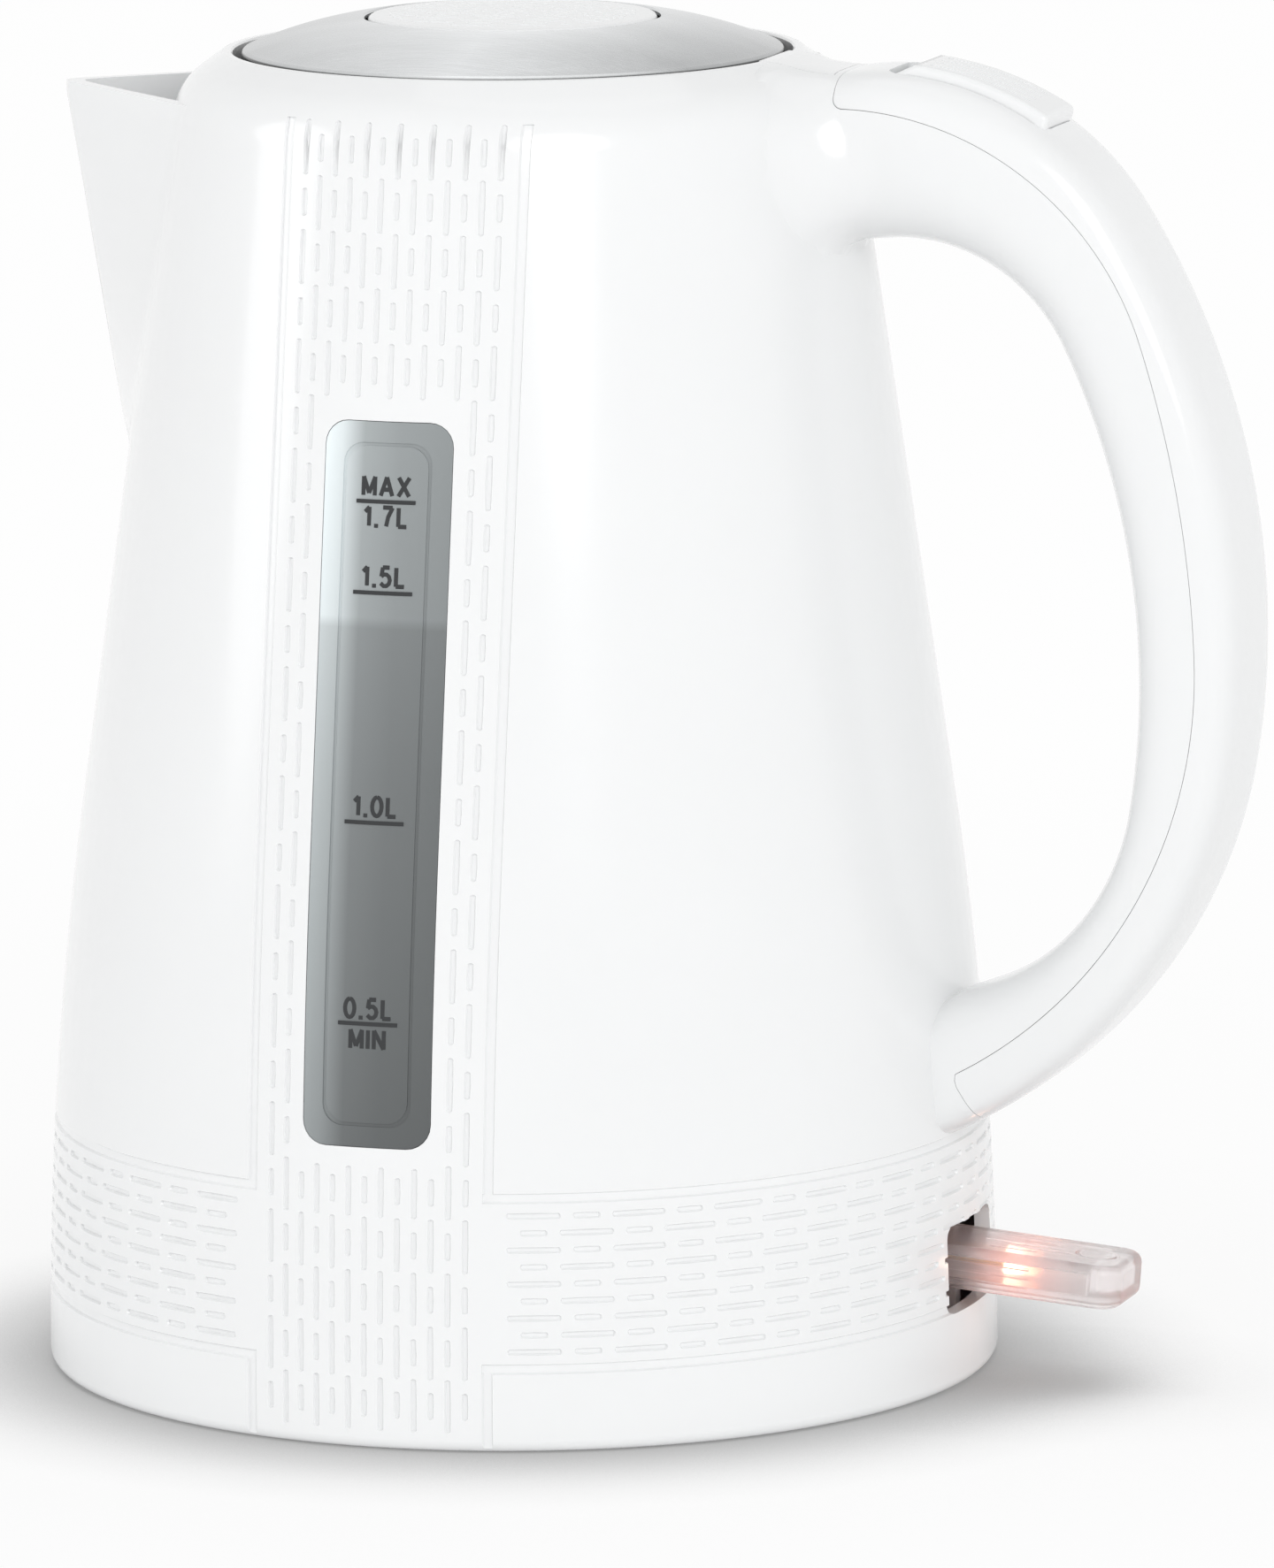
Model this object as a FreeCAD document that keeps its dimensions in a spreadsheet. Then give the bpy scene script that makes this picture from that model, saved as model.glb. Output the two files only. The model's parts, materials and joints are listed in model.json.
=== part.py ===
"""Electric kettle: moulded jug with a clip-on handle cover, a sprung lid, a clear switch lever and an
underfloor heating plate. Handle towards +X, pouring beak towards -X, level windows on -Y and +Y, +Z up,
origin on the jug's axis where it stands on the floor. Millimetres."""
import FreeCAD, Part
import math
import os
import re

import Sketcher

# Driving dimensions, in millimetres and degrees
SIZES = {
    # jug wall
    "base_radius": 78.5,
    "side_bend_radius": 665,
    "side_taper": 8.15,
    "side_top": 206.5,
    "wall": 2.6,
    "foot_chamfer": 1.0,
    "shoulder_radius": 12,
    "shoulder_slope": 34,
    # lid collar and the ledge that the lid's seal meets
    "rim_run": 3.4,
    "rim_width": 1.4,
    "lid_gap": 1.4,
    "ledge_drop": 7.5,
    "ledge_thick": 2.5,
    "ledge_width": 4.4,
    # pouring beak
    "beak_drop": 7.5,
    "beak_overhang": 22.7,
    "beak_mid_height": 175,
    "beak_mid_overhang": 13.5,
    "beak_low_height": 145,
    "beak_low_overhang": 0.8,
    "beak_bite": 0.7,
    "beak_hollow_height": 158,
    "beak_hollow_overhang": 6.3,
    "beak_open_top": 203,
    "beak_open_bottom": 160,
    "beak_open_top_half": 21,
    "beak_open_bottom_half": 5.5,
    # pouring filter
    "filter_rim": 2.2,
    "filter_thick": 2.0,
    "mesh_thick": 0.5,
    "mesh_pitch": 4.2,
    "mesh_bar": 1.0,
    # level windows
    "window_bottom": 48.9,
    "window_top": 164,
    "window_half": 10.85,
    "window_corner": 4,
    "window_flange": 2.5,
    "window_flange_thick": 1.2,
    # handle, measured out from the jug's base radius and down from the rim
    "handle_half": 13.5,
    "handle_wall": 2.4,
    "handle_round": 5,
    "neck_drop": 1.2,
    "cover_front_in": 20,
    "cover_front_drop": 1.7,
    "cover_bend_radius": 47.5,
    "cover_bend_out": 26.8,
    "cover_bend_drop": 22.5,
    "cover_back_out": 45.6,
    "cover_back_height": 104.4,
    "handle_foot_in": 3.6,
    "handle_foot_height": 42,
    "foot_top_in": 4.5,
    "foot_top_height": 63.5,
    "grip_low_out": 3.6,
    "grip_low_height": 66.9,
    "grip_back_out": 27.6,
    "grip_back_height": 96.4,
    "grip_bend_out": 17,
    "grip_bend_drop": 46,
    "grip_low_radius": 38.4,
    "grip_top_in": 11.5,
    "grip_top_drop": 28.6,
    "parting_front_in": 19.7,
    "parting_front_drop": 6.4,
    "parting_bend_radius": 52.5,
    "parting_bend_out": 31.2,
    "parting_bend_drop": 41.4,
    "parting_back_out": 40.9,
    "parting_back_height": 123.2,
    "parting_low_out": 0.6,
    "parting_low_height": 53.3,
    "cover_end_out": 3.2,
    "cover_end_height": 47.1,
    # lid hinge
    "hinge_out": 5.2,
    "hinge_drop": 3,
    "hinge_pin_radius": 1.5,
    "knuckle_radius": 3,
    "knuckle_half": 7.8,
    "knuckle_tail": 6,
    "hinge_side_gap": 0.4,
    "hinge_block_half": 12.5,
    "hinge_block_drop": 14,
    "hinge_pocket_drop": 10.5,
    "hinge_front_drop": 6.5,
    # lid
    "lid_flange_drop": 3.6,
    "lid_flange_thick": 1.8,
    "lid_plug_gap": 1.2,
    "lid_plug_drop": 13,
    "lid_plug_wall": 2,
    "boss_lip": 1.4,
    "lid_boss_wall": 3,
    "lid_boss_rise": 3.8,
    "cap_thick": 0.8,
    "cap_edge_drop": 0.2,
    "cap_crown_rise": 5.4,
    "cap_dome_radius": 70,
    "disc_radius": 23.6,
    "disc_gap": 0.6,
    "disc_edge_rise": 5.5,
    "disc_crown_rise": 6.1,
    "liner_thick": 1.6,
    "lid_screw_circle": 28,
    "lid_pillar_radius": 3,
    "seal_thick": 1.8,
    "seal_width": 3.1,
    # handle button and lid latch
    "button_out": 1.5,
    "button_drop": 4,
    "button_tilt": 17,
    "button_long_half": 14,
    "button_wide_half": 7.8,
    "button_proud": 2.2,
    "button_crown_radius": 55,
    "button_gap": 0.3,
    "button_flange_depth": 4.9,
    "button_flange_thick": 1.4,
    "button_flange_lip": 1.4,
    "bed_drop": 24,
    "bed_thick": 2,
    "bed_end_out": 14,
    "latch_half": 5,
    "latch_bar": 2,
    "latch_rise": 5.4,
    "latch_ramp_in": 5,
    "latch_ramp_start": 2.8,
    "latch_toe": 2,
    "latch_end_out": 7.5,
    "latch_nose": 2,
    "latch_nose_drop": 9.2,
    "leaf_thick": 0.6,
    "leaf_half": 2.5,
    # heating plate and what clamps it
    "flange_bottom": 39,
    "flange_thick": 3,
    "flange_width": 12,
    "plate_margin": 7.4,
    "plate_thick": 0.8,
    "element_seal_thick": 1.7,
    "clamp_thick": 3,
    "clamp_edge_gap": 1.6,
    "clamp_screw_in": 3.9,
    "clamp_boss_radius": 2.9,
    "clamp_screw_count": 6,
    "spreader_radius": 50,
    "spreader_thick": 2.5,
    "element_circle": 42,
    "element_tube": 3.5,
    "element_sweep": 300,
    "element_tail_radius": 2,
    "element_tail_length": 8,
    # control and connector
    "control_radius": 25,
    "control_top_gap": 0.8,
    "disc_plate_thick": 0.6,
    "dry_disc_radius": 8,
    "dry_disc_offset": 13,
    "socket_radius": 18.5,
    "socket_wall": 2.4,
    "socket_bottom": 0.6,
    "socket_top": 9,
    "contact_recess_radius": 17,
    "contact_recess_top": 20,
    "contact_bottom": 10,
    "outer_ring_radius": 13.2,
    "inner_ring_radius": 8.5,
    "ring_wall": 1.1,
    "live_pin_radius": 2.5,
    "leg_circle": 30,
    "leg_half": 4.5,
    "leg_thick": 2.2,
    "leg_boss_length": 4.8,
    "leg_boss_radius": 3,
    "leg_count": 3,
    # base cover
    "base_plate_bottom": 2.5,
    "base_plate_thick": 2.5,
    "base_boss_in": 6.7,
    "base_boss_radius": 4.6,
    "base_boss_length": 17,
    "base_screw_count": 4,
    # small screws
    "screw_radius": 1.45,
    "screw_head_radius": 2.4,
    "screw_head": 1.7,
    "screw_grip": 4,
    "screw_gap": 0.25,
    "fit_gap": 0.05,
    "seat_gap": 0.1,
    "side_gap": 0.3,
    # steam tube
    "tube_radius": 4,
    "tube_bore": 3,
    "tube_low_in": 21.5,
    "tube_low_height": 30,
    "tube_top_in": 7.9,
    "tube_top_height": 196,
    "tube_bracket_half": 6.5,
    "tube_bracket_height": 186,
    "tube_bracket_thick": 4,
    "tube_seal_radius": 6.2,
    "tube_seal_thick": 3,
    # switch lever and its housing
    "pivot_in": 12.5,
    "pivot_height": 21,
    "lever_tilt": 4.7,
    "lever_tail": 8,
    "lever_length": 39.1,
    "lever_half": 8.8,
    "lever_thick": 7.3,
    "lever_edge_round": 2,
    "lever_tip_round": 4,
    "lever_wall": 1.9,
    "lever_tip_wall": 5,
    "trunnion_radius": 2,
    "trunnion_reach": 2.9,
    "lamp_out": 18,
    "lamp_radius": 1.5,
    "lamp_length": 6,
    "lead_radius": 0.4,
    "lead_spacing": 1,
    "slot_half": 11.7,
    "slot_bottom": 12.7,
    "slot_top": 27.1,
    "slot_corner": 2,
    "cheek_gap": 0.5,
    "cheek_thick": 2.7,
    "cheek_front": 6,
    "cheek_back": 10,
    "housing_floor": 2.5,
    "bridge_height": 26,
    "bridge_thick": 2,
    "bridge_back": 17,
    "bridge_front": 3,
    "steam_disc_radius": 8.5,
    "housing_screw_offset": 5,
    "toggle_setback": 12,
    "toggle_height": 20,
    "toggle_finger": 3,
    "blade_height": 12,
    "blade_half": 3,
    "blade_thick": 0.8,
}

# Sizes that follow from the driving ones
DERIVED = {
    "knee_height": "side_bend_radius * sin(side_taper)",
    "knee_radius": "base_radius - side_bend_radius * (1 - cos(side_taper))",
    "side_top_radius": "knee_radius - (side_top - knee_height) * tan(side_taper)",
    "shoulder_in": "shoulder_radius * (cos(side_taper) - sin(shoulder_slope))",
    "shoulder_up": "shoulder_radius * (cos(shoulder_slope) - sin(side_taper))",
    "shoulder_end_radius": "side_top_radius - shoulder_in",
    "shoulder_end_height": "side_top + shoulder_up",
    "rim_outer": "shoulder_end_radius - rim_run",
    "rim_height": "shoulder_end_height + rim_run * tan(shoulder_slope)",
    "mouth_radius": "rim_outer - rim_width",
    "lid_radius": "mouth_radius - lid_gap",
    "ledge_top": "rim_height - ledge_drop",
    "ledge_bottom": "ledge_top - ledge_thick",
    "ledge_radius": "mouth_radius - ledge_width",
    "beak_rim": "rim_height - beak_drop",
    "flange_top": "flange_bottom + flange_thick",
    "hinge_x": "mouth_radius + hinge_out",
    "hinge_z": "rim_height - hinge_drop",
    "tail_swing": "sqrt(knuckle_tail^2 + knuckle_radius^2)",
    "pocket_back": "hinge_x + tail_swing + side_gap",
    "lid_flange_top": "rim_height - lid_flange_drop",
    "lid_flange_bottom": "lid_flange_top - lid_flange_thick",
    "plug_radius": "ledge_radius - lid_plug_gap",
    "plug_bottom": "rim_height - lid_plug_drop",
    "lid_boss_top": "rim_height + lid_boss_rise",
    "lid_boss_radius": "disc_radius + boss_lip",
    "button_x": "base_radius + button_out",
    "button_z": "rim_height - button_drop",
    "bed_top": "rim_height - bed_drop",
    "latch_front": "pocket_back + side_gap",
    "plate_top": "flange_bottom - element_seal_thick",
    "plate_bottom": "plate_top - plate_thick",
    "spreader_bottom": "plate_bottom - spreader_thick",
    "clamp_bottom": "plate_bottom - clamp_thick",
    "control_top": "spreader_bottom - control_top_gap",
    "leg_top": "spreader_bottom - leg_boss_length",
    "leg_bottom": "leg_top - leg_thick",
    "base_plate_top": "base_plate_bottom + base_plate_thick",
    "skirt_inside": "base_radius - wall",
    "pivot_x": "base_radius - pivot_in",
    "floor_top": "base_plate_top + housing_floor",
    "cheek_inner": "lever_half + cheek_gap",
    "tube_low_x": "base_radius - tube_low_in",
}

doc = FreeCAD.newDocument("kettle")
sheet = doc.addObject("Spreadsheet::Sheet", "sizes")
for row, (alias, number) in enumerate(SIZES.items(), start=1):
    sheet.set(f"A{row}", str(number))
    sheet.setAlias(f"A{row}", alias)
doc.recompute()

WORD = re.compile(r"[a-z_]\w*")
ACROSS = FreeCAD.Vector(1, 0, 0)
ABOUT_Y = FreeCAD.Vector(0, 1, 0)
nodes = {}


def spelled_out(text):
    """The text with every derived size replaced by the sizes that it follows from."""
    def swap(match):
        word = match.group(0)
        return f"({spelled_out(DERIVED[word])})" if word in DERIVED else word
    return WORD.sub(swap, str(text))


def value(text):
    """The number that a size expression has now."""
    return float(sheet.evalExpression(spelled_out(text)))


def bind(thing, **sizes):
    """Tie properties of an object to size expressions."""
    for prop, text in sizes.items():
        full = WORD.sub(lambda m: "sizes." + m.group(0) if m.group(0) in SIZES else m.group(0),
                        spelled_out(text))
        thing.setExpression(prop.replace("__", "."), full)
    return thing


def place(thing, x="0", y="0", z="0"):
    """Tie an object's place to size expressions."""
    return bind(thing, Placement__Base__x=x, Placement__Base__y=y, Placement__Base__z=z)


def side_radius(height, depth="0"):
    """Radius of the jug's straight side at a height above the knee, a depth inside its face."""
    return f"(knee_radius - ({height} - knee_height) * tan(side_taper) - ({depth}) / cos(side_taper))"


def skirt_radius(height, depth="0"):
    """Radius of the jug's bowed lower side at a height below the knee, a depth inside its face."""
    bend = f"(side_bend_radius - ({depth}))"
    return f"(base_radius - side_bend_radius + sqrt({bend}^2 - ({height})^2))"


def knee(depth="0"):
    """The corner where the bowed lower side runs into the straight side, a depth inside the face."""
    return f"knee_radius - ({depth}) * cos(side_taper)", f"knee_height - ({depth}) * sin(side_taper)"


def draw_edge(sketch, start, end, bend, heading):
    """Draw one edge of an outline. Returns its number, its two end marks and the heading at its end."""
    chord = end - start
    lean = math.atan2(chord.y, chord.x)
    if bend is None:
        return sketch.addGeometry(Part.LineSegment(start, end)), 1, 2, lean
    if bend == "smooth":
        swing = (lean - heading + math.pi) % (2 * math.pi) - math.pi
        turn, radius = math.copysign(1, swing), chord.Length / 2 / abs(math.sin(swing))
    else:
        turn, radius = (1 if bend[0] == "left" else -1), value(bend[1])
    half = math.asin(chord.Length / 2 / radius)
    inward = FreeCAD.Vector(-chord.y, chord.x, 0).normalize() * turn
    centre = (start + end) / 2 + inward * radius * math.cos(half)
    first, last = (start, end) if turn > 0 else (end, start)
    angles = [math.atan2(p.y - centre.y, p.x - centre.x) for p in (first, last)]
    if angles[1] < angles[0]:
        angles[1] += 2 * math.pi
    circle = Part.Circle(centre, FreeCAD.Vector(0, 0, 1), radius)
    edge = sketch.addGeometry(Part.ArcOfCircle(circle, *angles))
    if bend != "smooth":
        bind(sketch, **{f"Constraints[{sketch.addConstraint(Sketcher.Constraint('Radius', edge, radius))}]":
                        bend[1]})
    marks = (1, 2) if turn > 0 else (2, 1)
    return edge, *marks, lean + turn * half


def outline(body, plane, corners, lift=None):
    """A closed outline on one of the body's planes. A corner is (across, up) or (across, up, bend), and
    the bend says how the edge after it runs: ("left" or "right", radius), or "smooth" for an arc that
    carries on from the edge before."""
    sketch = body.newObject("Sketcher::SketchObject", body.Name + "_outline")
    sketch.AttachmentSupport = [(f, "") for f in body.Origin.OriginFeatures if f.Role == plane + "_Plane"]
    sketch.MapMode = "FlatFace"
    if lift is not None:
        bind(sketch, AttachmentOffset__Base__z=lift)
    points = [FreeCAD.Vector(value(c[0]), value(c[1]), 0) for c in corners]
    bends = [c[2] if len(c) > 2 else None for c in corners]
    edges = []
    heading = 0
    for i, start in enumerate(points):
        edge, first, last, heading = draw_edge(sketch, start, points[(i + 1) % len(points)], bends[i],
                                               heading)
        edges.append((edge, first, last))
    for i, (edge, first, last) in enumerate(edges):
        after, after_first, _ = edges[(i + 1) % len(edges)]
        joint = "Tangent" if bends[(i + 1) % len(edges)] == "smooth" else "Coincident"
        sketch.addConstraint(Sketcher.Constraint(joint, edge, last, after, after_first))
    for (edge, first, _), point, corner in zip(edges, points, corners):
        for kind, number, text in (("DistanceX", point.x, corner[0]), ("DistanceY", point.y, corner[1])):
            mark = sketch.addConstraint(Sketcher.Constraint(kind, -1, 1, edge, first, number))
            bind(sketch, **{f"Constraints[{mark}]": text})
    return sketch


def new_body(name):
    return doc.addObject("PartDesign::Body", name)


def turned(name, corners):
    """A solid turned about the jug's axis from an outline of (radius, height) corners."""
    body = new_body(name)
    sketch = outline(body, "XZ", corners)
    turn = body.newObject("PartDesign::Revolution", name + "_turn")
    turn.Profile = sketch
    turn.ReferenceAxis = (sketch, ["V_Axis"])
    turn.Angle = 360
    return body


def slab(name, plane, corners, thick, lift=None):
    """A solid of an outline padded along the plane's normal, from lift on, or to both sides alike."""
    body = new_body(name)
    pad = body.newObject("PartDesign::Pad", name + "_pad")
    pad.Profile = outline(body, plane, corners, lift)
    pad.SideType = "One side" if lift is not None else "Symmetric"
    return bind(pad, Length=thick) and body


def rectangle(low_x, high_x, low_y, high_y, corner=None):
    """Corners of a rectangle, square or with round corners."""
    if corner is None:
        return [(low_x, low_y), (high_x, low_y), (high_x, high_y), (low_x, high_y)]
    bend = ("left", corner)
    return [(f"{low_x} + {corner}", low_y), (f"{high_x} - {corner}", low_y, bend),
            (high_x, f"{low_y} + {corner}"), (high_x, f"{high_y} - {corner}", bend),
            (f"{high_x} - {corner}", high_y), (f"{low_x} + {corner}", high_y, bend),
            (low_x, f"{high_y} - {corner}"), (low_x, f"{low_y} + {corner}", bend)]


def block(name, x, y, z):
    """A box between pairs of (low, high) expressions."""
    box = doc.addObject("Part::Box", name)
    bind(box, Length=f"{x[1]} - ({x[0]})", Width=f"{y[1]} - ({y[0]})", Height=f"{z[1]} - ({z[0]})")
    return place(box, x[0], y[0], z[0])


def drum(name, radius, low, high, x="0", y="0"):
    """An upright cylinder."""
    cylinder = bind(doc.addObject("Part::Cylinder", name), Radius=radius, Height=f"{high} - ({low})")
    return place(cylinder, x, y, low)


def crossbar(name, radius, half, x, z, y="0"):
    """A cylinder along Y, centred on (x, y, z)."""
    bar = bind(doc.addObject("Part::Cylinder", name), Radius=radius, Height=f"2 * ({half})")
    bar.Placement.Rotation = FreeCAD.Rotation(ACROSS, -90)
    return place(bar, x, f"{y} - ({half})", z)


def ring(name, inner, outer, low, high):
    return turned(name, rectangle(inner, outer, low, high))


def joined(kind, prop, name, shapes):
    thing = doc.addObject(kind, name)
    setattr(thing, prop, list(shapes))
    return thing


def fused(name, *shapes):
    return joined("Part::MultiFuse", "Shapes", name, shapes)


def shared(name, *shapes):
    return joined("Part::MultiCommon", "Shapes", name, shapes)


def group(name, *shapes):
    return joined("Part::Compound", "Links", name, shapes)


def cut(name, base, *tools):
    thing = doc.addObject("Part::Cut", name)
    thing.Base = base
    thing.Tool = tools[0] if len(tools) == 1 else fused(name + "_tools", *tools)
    return thing


def around(count, circle, start=0):
    """Places spread evenly round the axis, as (x, y) expressions."""
    turns = [f"({start} + {i} * 360 / {count})" for i in range(int(value(count)))]
    return [(f"({circle}) * cos{turn}", f"({circle}) * sin{turn}") for turn in turns]


def screw(name, x, y, head_top, tip):
    """A screw driven upwards: its head ends at head_top and its shank runs on to the tip."""
    head = drum(name + "_head", "screw_head_radius", f"{head_top} - screw_head", head_top, x, y)
    return fused(name, head, drum(name + "_shank", "screw_radius", head_top, tip, x, y))


def keep(name, thing):
    """Name a finished sub-part."""
    thing.Label = name
    nodes[name] = thing


def wall_ring(name, outer_depth, inner_depth, low, high):
    """A shell of the jug's side between two depths and two heights, one below and one above the knee."""
    outer_bend = ("left", f"side_bend_radius - ({outer_depth})")
    inner_bend = ("right", f"side_bend_radius - ({inner_depth})")
    return turned(name, [
        (skirt_radius(low, inner_depth), low), (skirt_radius(low, outer_depth), low, outer_bend),
        knee(outer_depth), (side_radius(high, outer_depth), high),
        (side_radius(high, inner_depth), high), (*knee(inner_depth), inner_bend)])


def beak(name, depth, low, low_overhang, top):
    """The pouring beak as a solid, a depth inside its outer faces: sides tangent to the jug's round."""
    body = new_body(name)
    sketches = []
    for height, overhang in ((low, low_overhang), ("beak_mid_height", "beak_mid_overhang"),
                             (top, "beak_overhang")):
        round_radius = f"({side_radius(height)} - ({depth}) - beak_bite)"
        tip = f"({side_radius(height)} + {overhang} - 1.5 * ({depth}))"
        touch_x = f"0 - {round_radius}^2 / {tip}"
        touch_y = f"({round_radius} * sqrt(1 - ({round_radius} / {tip})^2))"
        corners = [(f"-{tip}", "0"), (touch_x, f"-{touch_y}"), (touch_x, touch_y)]
        sketches.append(outline(body, "XY", corners, height))
    loft = body.newObject("PartDesign::AdditiveLoft", name + "_loft")
    loft.Profile = sketches[0]
    loft.Sections = sketches[1:]
    loft.Ruled = True
    return body


def beak_window(name, margin):
    """A prism through the jug wall behind the beak, drawn in by a margin all round."""
    corners = [(f"-beak_open_bottom_half + ({margin})", f"beak_open_bottom + ({margin})"),
               (f"beak_open_bottom_half - ({margin})", f"beak_open_bottom + ({margin})"),
               (f"beak_open_top_half - ({margin})", f"beak_open_top - ({margin})"),
               (f"-beak_open_top_half + ({margin})", f"beak_open_top - ({margin})")]
    return slab(name, "YZ", corners, "base_radius", "-base_radius")


def window_prism(name, grow):
    """A prism through both sides of the jug at the level windows, grown by a margin all round."""
    corners = rectangle(f"-window_half - ({grow})", f"window_half + ({grow})",
                        f"window_bottom - ({grow})", f"window_top + ({grow})", f"(window_corner + ({grow}))")
    return slab(name, "XZ", corners, "3 * base_radius")


def out(size):
    return f"base_radius + {size}"


def inward(size):
    return f"base_radius - {size}"


def down(size):
    return f"rim_height - {size}"


def handle_corners():
    """The whole handle seen from the side, from the collar over the back and round under the grip."""
    return [("rim_outer - rim_width / 2", down("parting_front_drop")),
            (inward("cover_front_in"), down("parting_front_drop")),
            (inward("cover_front_in"), down("cover_front_drop"), ("right", "cover_bend_radius")),
            (out("cover_bend_out"), down("cover_bend_drop"), "smooth"),
            (out("cover_back_out"), "cover_back_height", "smooth"),
            (inward("handle_foot_in"), "handle_foot_height"),
            (inward("foot_top_in"), "foot_top_height"),
            (out("grip_low_out"), "grip_low_height", ("left", "grip_low_radius")),
            (out("grip_back_out"), "grip_back_height", "smooth"),
            (out("grip_bend_out"), down("grip_bend_drop"), "smooth"),
            (inward("grip_top_in"), down("grip_top_drop")),
            (side_radius(down("grip_top_drop"), "wall / 2"), down("grip_top_drop")),
            (side_radius("side_top", "wall / 2"), "side_top")]


def cover_region_corners():
    """The side of the parting line where the handle cover lies."""
    clear_x, clear_top = "2 * base_radius", "rim_height + wall"
    return [(inward("parting_front_in"), down("parting_front_drop"), ("right", "parting_bend_radius")),
            (out("parting_bend_out"), down("parting_bend_drop"), "smooth"),
            (out("parting_back_out"), "parting_back_height", "smooth"),
            (out("parting_low_out"), "parting_low_height"),
            (out("cover_end_out"), "cover_end_height"),
            (out("cover_end_out"), "slot_top"),
            (clear_x, "slot_top"), (clear_x, clear_top), (inward("cover_front_in"), clear_top)]


def handle_shell():
    """The handle as one hollow, round-edged shell, before it is parted into jug and cover."""
    body = slab("handle", "XZ", handle_corners(), "2 * handle_half")
    doc.recompute()
    pad = body.Tip
    side = value("handle_half")
    long_edges = [f"Edge{i}" for i, edge in enumerate(pad.Shape.Edges, start=1)
                  if edge.Curve.TypeId == "Part::GeomCircle"
                  and all(abs(abs(v.Y) - side) < 0.01 for v in edge.Vertexes)]
    fillet = body.newObject("PartDesign::Fillet", "handle_rounds")
    fillet.Base = (pad, long_edges)
    bind(fillet, Radius="handle_round")
    inset = doc.addObject("Part::Offset2D", "handle_inset")
    inset.Source = pad.Profile[0]
    bind(inset, Value="-handle_wall")
    hollow = doc.addObject("Part::Extrusion", "handle_hollow")
    hollow.Base = inset
    hollow.DirMode = "Custom"
    hollow.Dir = ABOUT_Y
    hollow.Solid = True
    hollow.Symmetric = True
    bind(hollow, LengthFwd="2 * (handle_half - handle_wall)")
    return cut("handle_hollowed", body, hollow)


def tilted(shape, angle, x, z):
    """Turn a finished local shape about Y and put it at (x, 0, z)."""
    stand = group(shape.Name + "_tilted", shape)
    stand.Placement.Rotation = FreeCAD.Rotation(ABOUT_Y, value(angle))
    bind(stand, Placement__Rotation__Angle=angle)
    return place(stand, x, "0", z)


def button_frame(shape):
    return tilted(shape, "button_tilt", "button_x", "button_z")


def lever_frame(shape):
    return tilted(shape, "lever_tilt", "pivot_x", "pivot_height")


def tube_axis(name, radius, low_extra="0", high_extra="0"):
    """A cylinder along the leaning steam tube, longer at either end by the extras."""
    top_x = side_radius("tube_top_height", "tube_top_in")
    lean = f"atan((tube_low_x - {top_x}) / (tube_top_height - tube_low_height))"
    cylinder = bind(doc.addObject("Part::Cylinder", name), Radius=radius,
                    Height=f"(tube_top_height - tube_low_height) / cos({lean}) + ({low_extra}) + ({high_extra})")
    cylinder.Placement.Rotation = FreeCAD.Rotation(-ABOUT_Y, value(lean))
    bind(cylinder, Placement__Rotation__Angle=lean)
    return place(cylinder, f"tube_low_x + ({low_extra}) * sin({lean})", "0",
                 f"tube_low_height - ({low_extra}) * cos({lean})")


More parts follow.
